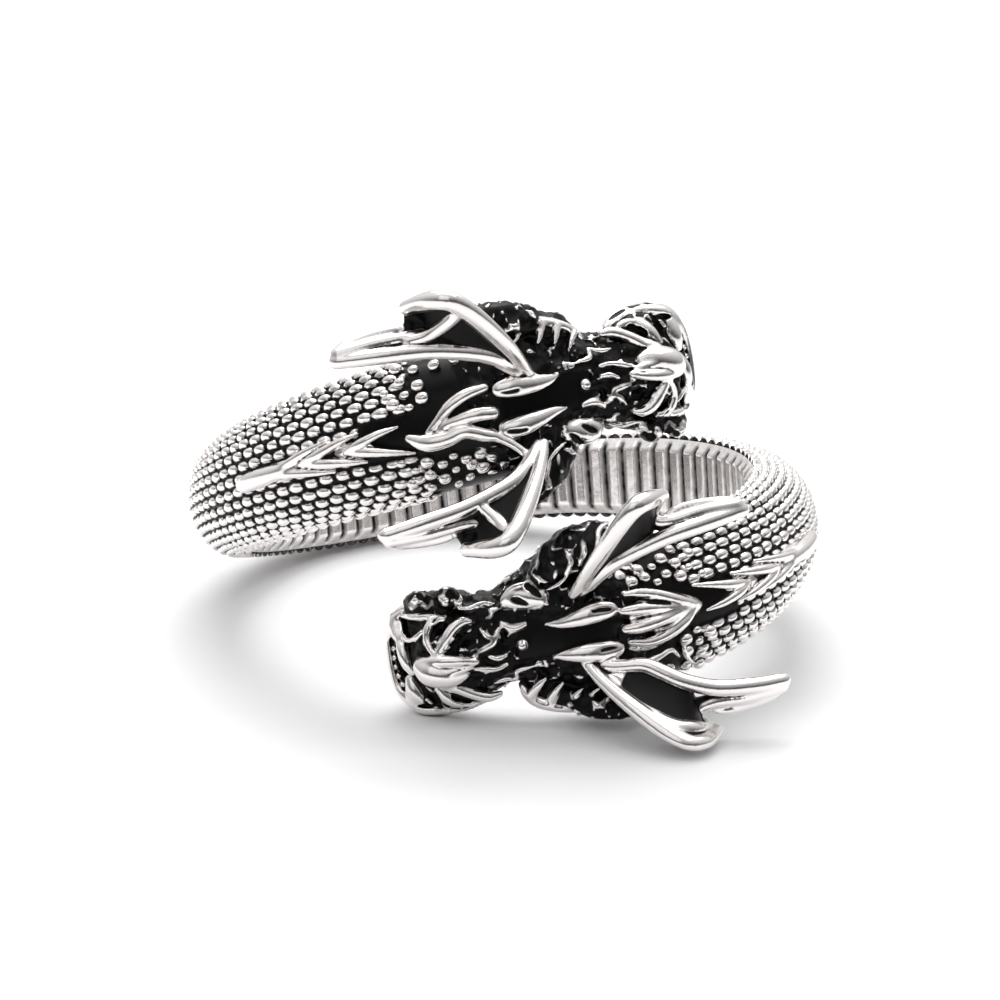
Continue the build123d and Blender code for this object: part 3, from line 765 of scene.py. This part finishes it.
# %% The upper head's crest, and its eye rim
curled_crest = {
    "long petal": ("silver", [(-1.75, 0.85, 2.50, 0.14), (-2.2, 0.66, 2.60, 0.24), (-2.9, 0.36, 2.70, 0.26),
                              (-3.5, 0.48, 2.72, 0.28), (-4.2, 0.46, 2.68, 0.31), (-4.8, 0.18, 2.60, 0.17)]),
    "short petal": ("silver", [(-1.85, -0.02, 2.54, 0.24), (-2.4, -0.10, 2.62, 0.26), (-3.0, -0.06, 2.66, 0.20),
                               (-3.5, 0.04, 2.64, 0.16), (-3.85, 0.30, 2.60, 0.14)]),
    "lower petal": ("worn", [(-1.9, -0.90, 2.46, 0.12), (-2.6, -0.82, 2.54, 0.20), (-3.2, -0.58, 2.60, 0.21),
                             (-3.75, -0.14, 2.60, 0.17), (-4.1, 0.12, 2.58, 0.14)]),
    "petal slot": ("groove", [(-2.5, -0.43, 2.72, 0.07), (-3.1, -0.32, 2.78, 0.07), (-3.5, -0.16, 2.78, 0.05)]),
    "root arch": ("silver", [(-2.0, 0.78, 2.52, 0.16), (-1.6, 1.00, 2.54, 0.16), (-1.2, 1.36, 2.56, 0.15),
                             (-0.86, 1.75, 2.60, 0.16)]),
    "hollow": ("groove", [(-1.9, 1.55, 2.42, 0.35), (-2.5, 1.55, 2.44, 0.42), (-2.9, 1.35, 2.42, 0.25)]),
}
upper_face = {
    "outer eye rim": ("silver", [(2.02, -1.66, 1.30, 0.10), (1.7, -1.98, 1.40, 0.15), (1.2, -2.26, 1.46, 0.16),
                                 (0.6, -2.46, 1.52, 0.17), (0.0, -2.60, 1.60, 0.20), (-0.5, -2.72, 1.70, 0.16),
                                 (-0.9, -2.76, 1.78, 0.10)]),
    "outer spike front": ("silver", [(1.72, -1.90, 1.50, 0.14), (1.50, -1.66, 1.66, 0.10), (1.36, -1.48, 1.78, 0.05)]),
    "outer spike middle": ("silver", [(1.1, -2.22, 1.54, 0.15), (0.95, -1.92, 1.72, 0.11), (0.82, -1.72, 1.84, 0.05)]),
    "outer spike rear": ("silver", [(0.5, -2.40, 1.62, 0.15), (0.35, -2.08, 1.84, 0.11), (0.2, -1.88, 1.96, 0.05)]),
}
print(len(tulip_crest), "strokes for one crest,", len(curled_crest), "for the other")


# %% [markdown]
# ### The loose beads
# Beside the crest the rows of scales break up into single beads on a black neck. Their
# places are read off, because a regular pattern would show here. Each bead is a
# very short stroke that sits on the neck's rounded section, and no two next to each
# other have the same size.

# %% The loose beads
bead_size, bead_variety, bead_stretch = 0.18, 0.25, 0.09
# Columns: along, across.
bead_places = [
    (-3.05, 1.35), (-3.45, 1.12), (-3.5, 1.62), (-3.9, 1.30), (-4.0, 1.80), (-4.4, 1.10), (-4.45, 1.55),
    (-4.6, 2.0), (-4.9, 1.30), (-2.75, -1.95), (-3.5, -1.98), (-4.05, -1.05), (-4.15, -1.5),
    (-4.3, -2.05), (-4.55, -0.85), (-4.65, -1.3), (-4.8, -1.75), (-5.0, -2.2), (-5.1, -1.05),
    (-5.2, 1.7), (-5.3, 0.95), (-5.4, -1.5), (-2.15, 1.55), (-2.5, 1.30), (-2.55, 1.85), (-2.9, 1.62),
    (-3.1, 2.05), (-2.3, 2.15), (-3.6, 2.15),
]


def neck_height(across):
    lean = np.arcsin(across / neck_half_width * np.sin(dome_angle))
    flat = np.cos(dome_angle)
    return edge_wall + (neck_wall - edge_wall) * (np.cos(lean) - flat) / (1 - flat)


def add_loose_beads(clay):
    for k, (along, across) in enumerate(bead_places):
        size = bead_size * (1 + bead_variety * np.sin(5.3 * k))
        height = neck_height(across) + 0.02
        stroke(clay, [(along, across, height, size), (along - bead_stretch, across, height, size)], tone=0.9)


print(len(bead_places), "loose beads; the neck is", round(neck_height(1.35), 2), "mm high under the first")


# %% [markdown]
# ## The antlers
# A real antler of the ring is a bent sheet with a thick rim, like the webbed antler of an
# elk. The rim runs from the root to the short tine, back through the crotch and out to
# the long tine, and a second rim closes it at the back. The sheet between them is bright
# near the root and black further out.
#
# A sheet is hard to bend in both ways, so it is made as a boat's hull is planked: ribs
# are laid side by side from one rim to the other, close enough to melt into a skin. The
# rims are silver strokes over their ends. The lower head's outer antler also has a broad
# bright plate on its web.
#
# The columns of a row are shares of the way from the root to the antler's full length,
# spread and height, and a radius in mm. So both antlers of a head share their rows,
# although the root isn't in the same place on the two sides. Side 1 is the inner antler.

# %% Where the antlers stand, and their rims
antler_root = {1: np.array([-0.3, 1.35, 2.3]), -1: np.array([-0.3, 0.95, 2.2])}
antler_reach = np.array([-5.85, 4.45, 5.0])
lower_rails = {
    "front": ("silver", [(0.0, 0.02, 0.02, 0.20), (0.15, 0.44, 0.52, 0.27), (0.315, 0.85, 0.90, 0.31),
                         (0.42, 0.95, 0.90, 0.35), (0.59, 0.93, 0.60, 0.25)]),
    "fork": ("silver", [(0.585, 0.94, 0.62, 0.19), (0.555, 0.82, 0.53, 0.18), (0.52, 0.69, 0.50, 0.19),
                        (0.62, 0.63, 0.60, 0.22), (0.78, 0.655, 0.75, 0.24), (0.96, 0.64, 0.95, 0.22)]),
    "far edge": ("silver", [(0.58, 0.67, 0.52, 0.12), (0.68, 0.74, 0.60, 0.17), (0.80, 0.74, 0.72, 0.18),
                            (0.92, 0.71, 0.86, 0.15), (0.975, 0.67, 0.93, 0.10)]),
}
antler_back = {
    1: [(0.04, 0.04, 0.0, 0.28), (0.16, 0.22, 0.24, 0.30), (0.28, 0.34, 0.40, 0.28),
        (0.53, 0.47, 0.61, 0.28), (0.77, 0.53, 0.81, 0.29), (0.97, 0.57, 0.96, 0.26)],
    -1: [(0.06, 0.05, 0.02, 0.26), (0.18, 0.09, 0.18, 0.25), (0.31, 0.12, 0.34, 0.26), (0.39, 0.22, 0.44, 0.27),
         (0.49, 0.36, 0.56, 0.28), (0.64, 0.49, 0.69, 0.29), (0.83, 0.56, 0.85, 0.29), (0.97, 0.585, 0.96, 0.26)],
}

# %% The webs
web_edge = {
    1: [(0.04, 0.04, 0.0, 0.16), (0.16, 0.22, 0.22, 0.16), (0.28, 0.34, 0.36, 0.16), (0.40, 0.46, 0.46, 0.16),
        (0.50, 0.60, 0.50, 0.16), (0.52, 0.70, 0.47, 0.16), (0.555, 0.82, 0.48, 0.16)],
    -1: [(0.06, 0.05, 0.0, 0.16), (0.18, 0.10, 0.15, 0.16), (0.31, 0.14, 0.30, 0.16), (0.39, 0.24, 0.40, 0.16),
         (0.49, 0.39, 0.51, 0.16), (0.515, 0.56, 0.50, 0.16), (0.52, 0.70, 0.47, 0.16), (0.555, 0.82, 0.48, 0.16)],
}
tine_web = [(0.56, 0.60, 0.52, 0.20), (0.72, 0.60, 0.68, 0.20), (0.90, 0.60, 0.86, 0.14)]
outer_plate = [(0.16, 0.40, 0.46, 0.16), (0.30, 0.70, 0.76, 0.27), (0.42, 0.80, 0.78, 0.30), (0.53, 0.85, 0.62, 0.20)]
web_ribs, silver_ribs = 30, 8
rib_radius, rib_sag = 0.12, 0.10

# %% [markdown]
# The upper head's antlers are fuller on the real ring. A strut crosses each web, and the
# web also fills the notch between the two tips, so they have their own rims and struts.

# %% The upper head's antlers
upper_rails = {
    "notch web near": ("black", [(0.56, 0.88, 0.54, 0.16), (0.555, 0.78, 0.50, 0.17), (0.56, 0.68, 0.54, 0.16)]),
    "notch web far": ("black", [(0.585, 0.92, 0.58, 0.15), (0.60, 0.81, 0.54, 0.16), (0.62, 0.70, 0.57, 0.16)]),
    "web by the strut": ("black", [(0.42, 0.50, 0.54, 0.14), (0.50, 0.56, 0.58, 0.16), (0.62, 0.58, 0.64, 0.14)]),
    "fork": ("silver", [(0.52, 0.66, 0.58, 0.16), (0.60, 0.645, 0.62, 0.20), (0.68, 0.65, 0.68, 0.22),
                        (0.80, 0.655, 0.77, 0.24), (0.96, 0.64, 0.95, 0.22)]),
    "front": lower_rails["front"],
    "far edge": lower_rails["far edge"],
}
antler_strut = {
    1: [(0.33, 0.84, 0.86, 0.17), (0.39, 0.66, 0.68, 0.19), (0.46, 0.48, 0.58, 0.17)],
    -1: [(0.31, 0.82, 0.88, 0.18), (0.38, 0.72, 0.78, 0.20), (0.50, 0.63, 0.66, 0.21), (0.64, 0.61, 0.66, 0.20)],
}
print("an antler reaches", -antler_reach[0], "mm back,", antler_reach[1], "to the side and", antler_reach[2], "up")

# %% From shares to mm
def antler_rows(rows, side):
    """Rows in mm from rows in shares of the antler."""
    shares, root = np.array(rows), antler_root[side]
    return np.hstack([root + shares[:, :3] * (antler_reach - root), shares[:, 3:]])


def evenly(rows, count):
    """Points at even steps along a smooth path."""
    path = smooth_path(rows)
    run = np.append(0, np.cumsum(np.linalg.norm(np.diff(path[:, :3], axis=0), axis=1)))
    steps = np.linspace(0, run[-1], count)
    return np.stack([np.interp(steps, run, path[:, k]) for k in range(4)], -1)


print("the inner antler's front rim starts at", antler_rows(lower_rails["front"][1], 1)[0, :3].round(2))


# %% One antler
def add_antler(clay, side, upper):
    form = 1 if upper else side
    front = evenly(antler_rows(lower_rails["front"][1], side), web_ribs)
    back = evenly(antler_rows(web_edge[form], side), web_ribs)
    for rib, (near, far) in enumerate(zip(front, back)):
        near, far = np.append(near[:3], rib_radius), np.append(far[:3], rib_radius)
        tone = 1.0 if rib < silver_ribs else 0.0
        stroke(clay, [near, (near + far) / 2 - (0, 0, rib_sag, 0), far], tone=tone, side=side, blend=0.12)
    stroke(clay, antler_rows(tine_web, side), side=side, **stroke_kinds["black"])
    for kind, rows in (upper_rails if upper else lower_rails).values():
        stroke(clay, antler_rows(rows, side), side=side, **stroke_kinds[kind])
    bars = [antler_back[form]]
    if upper:
        bars.append(antler_strut[side])
    elif side < 0:
        bars.append(outer_plate)
    for rows in bars:
        stroke(clay, antler_rows(rows, side), side=side, **stroke_kinds["silver"])


# %% [markdown]
# ## The rough black skin
# Between its bright lines the real head isn't smooth: the wax was left crinkled, and the
# wheel has caught its highest creases. Placing those one by one would take hundreds of
# strokes that nobody looks at singly.
#
# Random lumps do it. They are soft noise of a chosen size, 0.2 and 0.42 mm here, pushed
# into the distances before the silver goes on. The line along which one noise is just
# half high wanders like a crease, so the clay is raised there and given a grey tone. The
# smooth bridge between the brows is left out.

# %% Random lumps
def lumps(clay, size, seed):
    """Smooth random lumps on the clay's grid, from 0 to 1, about size mm across."""
    cells = np.ceil(clay.size * clay.step / size).astype(int) + 2
    values = np.random.default_rng(seed).random(cells).astype(np.float32)
    for axis in range(3):
        at = np.arange(clay.size[axis]) * clay.step / size
        part = ease(at % 1).reshape([-1 if k == axis else 1 for k in range(3)]).astype(np.float32)
        cell = at.astype(int)
        values = np.take(values, cell, axis) * (1 - part) + np.take(values, cell + 1, axis) * part
    return values


# %% Roughening the black clay
smooth_brow = {"from": -1.7, "to": 2.1, "half width": 0.55, "fade": 0.3}
rough_from, rough_fade = -2.9, 0.8
# Each noise: how large its lumps are in mm, and the seed of its draws.
coarse_lumps, fine_lumps = (0.42, 3), (0.2, 5)
crease_lumps, gather_lumps = (0.42, 11), (0.6, 13)
rough_coarse, rough_fine, crease_height = 0.20, 0.10, 0.07
crease_tone = 0.50


def roughen(clay):
    along, across, _ = clay.whole()[1]
    fade = smooth_brow["fade"]
    along_brow = ease((along - smooth_brow["from"]) / fade) * ease((smooth_brow["to"] - along) / fade)
    rough = 1 - along_brow * ease((smooth_brow["half width"] + fade - abs(across)) / fade)
    rough = rough * ease((along - rough_from) / rough_fade)
    coarse, fine = lumps(clay, *coarse_lumps) - 0.5, lumps(clay, *fine_lumps) - 0.5
    clay.field += (rough_coarse * coarse + rough_fine * fine) * rough
    creases = ease((0.15 - abs(2 * lumps(clay, *crease_lumps) - 1)) / 0.13) * rough
    creases = creases * ease((lumps(clay, *gather_lumps) - 0.40) / 0.12)
    clay.field -= crease_height * creases
    clay.tone = np.maximum(clay.tone, crease_tone * creases)


print("lumps of", coarse_lumps[0], "and", fine_lumps[0], "mm, creases", crease_height, "mm high")


# %% [markdown]
# ## Sculpting one head
# The order is a carver's: mass, lumps, rough skin, then the silver from the snout back,
# and the antlers last. At the end the block is cut flat at the finger wall, which the
# finger keeps bright on the real ring.
#
# The clay's step of 0.066 mm is as fine as the limit of 200,000 triangles a piece
# allows.

# %% Sculpting one head
clay_step = 0.066
worn_wall, worn_wall_tone = 0.28, 0.95


def sculpt_head(crest, changes, upper):
    clay = Clay((-6.4, -5.1, -0.15), (7.65, 5.1, 5.6), clay_step)
    add_skull(clay)
    sculpt(clay, under_shapes)
    roughen(clay)
    for features in (jaw_and_lips, nose, mouth):
        sculpt(clay, features)
    add_teeth(clay)
    for features in (brow, {**eyes, **changes}, cheek_ridges, outer_cheek, crest):
        sculpt(clay, features)
    add_loose_beads(clay)
    for side in (1, -1):
        add_antler(clay, side, upper)
    height = clay.whole()[1][2]
    clay.field = np.maximum(clay.field, -height)
    clay.tone = np.maximum(clay.tone, worn_wall_tone * ease((worn_wall - height) / 0.12))
    return clay


# %% [markdown]
# ## The skin of the clay
# A render needs a mesh, so the clay's surface has to be found. Blender's own remesher
# works on finished meshes, and the usual marching cubes makes thin triangles. A surface
# net is short and even: each cell that the surface passes through gets one vertex, in
# the middle of the places where its edges are crossed, and each crossed edge of the grid
# gets one four-sided face.

# %% The skin
def skin(clay):
    """The surface of the clay: one vertex in each cell that it passes through."""
    inside = clay.field < 0
    n = clay.size - 1
    corners = [(i, j, k) for i in (0, 1) for j in (0, 1) for k in (0, 1)]
    count = sum(inside[i:i + n[0], j:j + n[1], k:k + n[2]].astype(np.int8) for i, j, k in corners)
    cells = np.argwhere((count > 0) & (count < 8))
    number = np.full(n, -1)
    number[tuple(cells.T)] = np.arange(len(cells))
    total, hits = np.zeros((len(cells), 3)), np.zeros((len(cells), 1))
    for axis in range(3):
        step = np.eye(3, dtype=int)[axis]
        for corner in corners:
            if corner[axis] == 0:
                start = cells + corner
                f, g = clay.field[tuple(start.T)], clay.field[tuple((start + step).T)]
                crossed = ((f < 0) != (g < 0))[:, None]
                share = (f / np.where(f == g, 1, f - g))[:, None]
                total += crossed * (start + share * step)
                hits += crossed
    spots = total / hits
    faces = []
    for axis in range(3):
        u, v = (axis + 1) % 3, (axis + 2) % 3
        lower = np.take(inside, np.arange(n[axis]), axis)
        upper = np.take(inside, np.arange(1, n[axis] + 1), axis)
        at = np.argwhere(lower != upper)
        at = at[(at[:, u] > 0) & (at[:, v] > 0) & (at[:, u] < n[u]) & (at[:, v] < n[v])]
        du, dv = np.eye(3, dtype=int)[u], np.eye(3, dtype=int)[v]
        quad = np.stack([number[tuple((at - s).T)] for s in (0 * du, du, du + dv, dv)], -1)
        out = lower[tuple(at.T)]
        faces.append(np.where(out[:, None], quad[:, ::-1], quad))
    return without_crumbs(spots, np.vstack(faces))


# %% [markdown]
# Noise and cuts can leave crumbs of clay that touch nothing. On a real casting they would
# fall off in the flask. Faces that share an edge get the lowest number among them, over
# and over, until nothing changes. Each part then has its own number, and the small parts
# are dropped.

# %% Without crumbs
def without_crumbs(spots, faces, fewest=60):
    """The skin without the crumbs that float beside it or inside it: parts of fewer faces than this."""
    ends = np.sort(np.stack([faces, np.roll(faces, -1, 1)], -1), -1)
    edges, edge = np.unique(ends[..., 0] * len(spots) + ends[..., 1], return_inverse=True)
    edge = edge.reshape(faces.shape)
    shared = np.bincount(edge.ravel())[edge] == 2
    part = np.arange(len(faces))
    while True:
        lowest = np.full(len(edges), len(faces))
        np.minimum.at(lowest, edge, part[:, None])
        joined = np.where(shared, lowest[edge], part[:, None]).min(1)
        np.minimum.at(joined, part, joined.copy())
        joined = joined[joined]
        if (joined == part).all():
            break
        part = joined
    faces = faces[np.bincount(part)[part] >= fewest]
    kept, faces_kept = np.unique(faces, return_inverse=True)
    return spots[kept], faces_kept.reshape(faces.shape)


# %% [markdown]
# ### What the wheel reaches
# A polishing wheel doesn't get into a crevice, and it does brush the sharp ridges of the
# black. The clay can tell: blurred, its fullness at a spot on the surface is a half on
# flat ground, more in a crevice and less on a ridge. So a bright stroke turns black where
# it is hemmed in, and black clay turns grey where it juts out. That grey on the black
# ridges is partly wear from the wheel and partly a painted highlight, standing in for
# the glints that light puts on the crinkled black.

# %% Blurring, and reading between the grid points
def blurred(volume, reach):
    for axis in range(3):
        pad = [(reach + 1, reach) if k == axis else (0, 0) for k in range(3)]
        sums = np.cumsum(np.pad(volume, pad, mode="edge"), axis)
        count = volume.shape[axis]
        late = np.take(sums, np.arange(2 * reach + 1, 2 * reach + 1 + count), axis)
        early = np.take(sums, np.arange(count), axis)
        volume = (late - early) / (2 * reach + 1)
    return volume


def sampled(volume, spots):
    """The volume's values between its grid points."""
    base = np.minimum(spots.astype(int), np.array(volume.shape) - 2)
    part = spots - base
    total = np.zeros(len(spots))
    for corner in np.ndindex(2, 2, 2):
        weight = np.where(corner, part, 1 - part).prod(1)
        total += weight * volume[tuple((base + corner).T)]
    return total


# %% The polish at each vertex
crevice_share, crevice_fade = 0.68, 0.16
# black ridges turn grey: partly wear from the wheel, partly a painted highlight for glints
ridge_share, ridge_fade, ridge_polish_and_glint = 0.445, 0.11, 0.66


def polish_of(clay, spots):
    full = np.clip(0.5 - clay.field / clay.step, 0, 1)
    closed = sampled(blurred(blurred(full, 2), 2), spots)
    tone = sampled(clay.tone, spots)
    bright = tone * ease((crevice_share - closed) / crevice_fade)
    # the second term greys black ridges: partly wear, partly a painted highlight
    return bright + (1 - tone) * ridge_polish_and_glint * ease((ridge_share - closed) / ridge_fade)


# %% [markdown]
# ## Laying the clay round the finger
# The heads were sculpted straight, and on the ring they follow the finger. The map of the
# band bends them too, so they sit on it without a step. The upper head is turned by half
# a turn, which is how the real two face each other. Each leans a little to its own side,
# so what lies low on it is shifted.
#
# A cast ring lies on its three lowest places. The metal that would pass through the floor
# is drawn up over the lowest millimetre, too little for the eye to see.

# %% Laying the clay
head_height, lean_top = 2.5, 1.1
lean_from, lean_fade = -4.5, 2.5         # along the head, where the lean begins and how softly
snout_from, snout_lean = 1, 0.5          # the snout leans half as much
rest_zone = 1.0 * mm


def lay(clay, spots, lean, turned):
    along, across, height = (clay.low + spots * clay.step).T
    shift = lean * np.clip(lean_top - height / head_height, 0, 1) * ease((along - lean_from) / lean_fade)
    shift = shift * (1 - snout_lean * ease((along - snout_from) / lean_fade))
    points = on_ring(180 + np.degrees(along / mid_radius), across + shift, height)
    if turned:
        own = (points - ring_middle) @ ring_axes.T * np.array([-1, 1, -1])
        points = ring_middle + own @ ring_axes
    sunk = max(0, -points[:, 2].min())
    points[:, 2] += sunk * ease((rest_zone - points[:, 2]) / (rest_zone + sunk))
    return points


# %% The two heads
# Columns: name, crest, what differs on the face, lean in mm, whether it is turned.
heads = [
    ("lower_head", tulip_crest, {}, 0.5, False),
    ("upper_head", curled_crest, upper_face, -0.5, True),
]
for head_name, crest, changes, lean, turned in heads:
    head_clay = sculpt_head(crest, changes, upper=turned)
    head_spots, head_faces = skin(head_clay)
    head_polish = polish_of(head_clay, head_spots)
    piece(head_name, lay(head_clay, head_spots, lean, turned), head_faces, head_polish, silver)
    print("  polished share", round(float((head_polish > 0.5).mean()), 2))


# %% [markdown]
# ## The mane
# Along each nape runs a mane of nested leaves. A leaf is a pair of arms that meet in a
# tip, and the last leaf ends in a long smooth tongue. It could be part of the head's
# block, but the block would then be twice as long and mostly empty. A small block of its
# own is laid on the band twice, because the two manes are twins.

# %% The strokes of the mane
# Rows: along, across, height, radius.
mane_ribbon = [(-6.3, 0.18, 2.46, 0.16), (-7.2, 0.10, 2.52, 0.30), (-8.4, 0.12, 2.58, 0.36), (-9.6, 0.16, 2.58, 0.36),
               (-11.0, 0.20, 2.56, 0.32)]
mane_strokes = [
    [(-4.75, 0.70, 2.50, 0.07), (-5.5, 0.50, 2.70, 0.13), (-6.3, 0.28, 2.82, 0.18), (-7.1, 0.14, 2.74, 0.09)],
    [(-5.1, -0.30, 2.50, 0.06), (-5.8, -0.22, 2.70, 0.14), (-6.5, -0.04, 2.82, 0.17), (-7.1, 0.12, 2.74, 0.09)],
    [(-6.5, 0.60, 2.50, 0.07), (-7.2, 0.46, 2.72, 0.14), (-8.1, 0.28, 2.84, 0.18), (-8.9, 0.14, 2.74, 0.10)],
    [(-6.6, -0.42, 2.50, 0.06), (-7.3, -0.28, 2.72, 0.14), (-8.2, -0.02, 2.84, 0.17), (-8.9, 0.12, 2.74, 0.10)],
    [(-7.8, 0.66, 2.52, 0.07), (-8.6, 0.50, 2.74, 0.13), (-9.5, 0.34, 2.84, 0.15), (-10.5, 0.24, 2.80, 0.12)],
    [(-7.8, -0.44, 2.52, 0.07), (-8.7, -0.24, 2.74, 0.13), (-9.6, 0.02, 2.84, 0.15), (-10.5, 0.14, 2.80, 0.12)],
    [(-9.0, 0.12, 2.70, 0.12), (-9.8, 0.16, 2.78, 0.26), (-10.8, 0.20, 2.80, 0.33), (-11.7, 0.24, 2.74, 0.31),
     (-12.15, 0.25, 2.60, 0.18)],
]


# %% The manes
def sculpt_mane():
    clay = Clay((-12.7, -1.0, 2.2), (-4.5, 1.1, 3.2), clay_step)
    stroke(clay, mane_ribbon, tone=0.7, tall=0.6)
    for rows in mane_strokes:
        stroke(clay, rows, tall=0.9, blend=0.03)
    return clay


mane_clay = sculpt_mane()
mane_spots, mane_faces = skin(mane_clay)
mane_polish = polish_of(mane_clay, mane_spots)
for mane_name, turned in (("lower_mane", False), ("upper_mane", True)):
    piece(mane_name, lay(mane_clay, mane_spots, 0, turned), mane_faces, mane_polish, silver)


# %% [markdown]
# ## The studio
# The ring lies on white paper, which is matt: rough, not metallic, and nearly white. It
# is a plain square, larger than the picture, so that no edge or corner shows.

# %% The paper
paper_white, paper_roughness, paper_half = "#F7F7F8", 0.8, 0.6


def floor():
    material = bpy.data.materials.new("white paper")
    material.use_nodes = True
    shader = material.node_tree.nodes["Principled BSDF"]
    shader.inputs["Base Color"].default_value = linear(paper_white)
    shader.inputs["Roughness"].default_value = paper_roughness
    mesh = bpy.data.meshes.new("floor")
    corners = [(-1, -1, 0), (1, -1, 0), (1, 1, 0), (-1, 1, 0)]
    mesh.from_pydata([Vector(corner) * paper_half for corner in corners], [], [(0, 1, 2, 3)])
    mesh.materials.append(material)
    obj = bpy.data.objects.new("floor", mesh)
    bpy.context.collection.objects.link(obj)
    print("paper", 2 * paper_half, "m wide")


floor()

# %% [markdown]
# Polished silver shows little but what it reflects, so the light is built for the
# reflections. A real ring is photographed in a white tent. Here the sky does that work:
# it is bright above and behind the ring and dark in front, which puts dark edges on the
# bright forms. Three large square lamps add the soft shadows.

# %% The sky
sky_tilt = 0.55                          # how much of the brightness comes from behind
dark_at, bright_at = -0.25, 0.8
dark_sky, bright_sky = 0.06, 0.86


def sky():
    world = bpy.data.worlds.new("studio")
    bpy.context.scene.world = world
    world.use_nodes = True
    tree = world.node_tree
    tree.nodes.clear()
    ray = add_node(tree, "ShaderNodeTexCoord")
    parts = add_node(tree, "ShaderNodeSeparateXYZ", {}, {"Vector": ray.outputs["Generated"]})
    height = add_node(tree, "ShaderNodeMath", {"operation": "MULTIPLY_ADD", 1: sky_tilt},
                      {0: parts.outputs["Y"], 2: parts.outputs["Z"]})
    ramp = add_node(tree, "ShaderNodeMapRange", {"From Min": dark_at, "From Max": bright_at,
                                                 "To Min": dark_sky, "To Max": bright_sky},
                    {"Value": height.outputs[0]})
    light = add_node(tree, "ShaderNodeBackground", {"Color": (1, 1, 1, 1)}, {"Strength": ramp.outputs[0]})
    add_node(tree, "ShaderNodeOutputWorld", {}, {"Surface": light.outputs[0]})
    print("the sky goes from", dark_sky, "to", bright_sky)


sky()

# %% The lamps
# Columns: name, place in metres, side of the square in metres, watts.
lamps = [
    ("key", (0.03, 0.08, 0.35), 0.44, 0.54),
    ("back", (0.0, 0.19, 0.30), 0.22, 0.58),
    ("front", (-0.10, -0.20, 0.16), 0.18, 0.05),
]
for lamp_name, place, side, watts in lamps:
    light = bpy.data.lights.new(lamp_name, "AREA")
    light.shape, light.size, light.energy = "SQUARE", side, watts
    lamp = bpy.data.objects.new(lamp_name, light)
    bpy.context.collection.objects.link(lamp)
    lamp.location = place
    lamp.rotation_mode = "QUATERNION"
    lamp.rotation_quaternion = Vector(place).to_track_quat("Z", "Y")
    print(lamp_name, "lamp", round(Vector(place).length, 3), "m from the middle")
bpy.context.scene.view_settings.view_transform = "Standard"

# %% [markdown]
# The camera stands where the photograph's stood: 170 mm away and a little to the side,
# seen in the ring's own axes. How far away it was shows in how much larger the near parts
# are. The lens and the shift then bring the ring to its size and place in the picture.

# %% The camera
camera_turn, camera_rise, camera_roll = np.radians([9.67, 4.45, -6.82])
camera_distance = 170
photo_scale = 27.33                      # pixels to a mm at the ring's middle, in an image of 1000
photo_middle = (500.7, 502.4)
image_width = 1000
sensor_width = 36


def camera():
    turn = Matrix.Rotation(camera_turn, 3, "Z")
    rise = Matrix.Rotation(camera_rise, 3, "X")
    roll = Matrix.Rotation(camera_roll, 3, "Y")
    look = roll @ rise @ turn
    ring = Matrix((to_right, to_back, up_finger)).transposed()
    data = bpy.data.cameras.new("camera")
    obj = bpy.data.objects.new("camera", data)
    bpy.context.collection.objects.link(obj)
    view = ring @ look.transposed()
    place = Vector(ring_middle) + view @ Vector((0, -camera_distance * mm, 0))
    basis = Matrix((view.col[0], view.col[2], -view.col[1])).transposed()
    obj.matrix_world = Matrix.Translation(place) @ basis.to_4x4()
    data.sensor_width = sensor_width
    data.lens = sensor_width * photo_scale * camera_distance / image_width
    data.shift_x = (image_width / 2 - photo_middle[0]) / image_width
    data.shift_y = (photo_middle[1] - image_width / 2) / image_width
    data.clip_start, data.clip_end = 0.01, 5
    bpy.context.scene.camera = obj
    print("camera at", tuple(round(c, 4) for c in place))


camera()
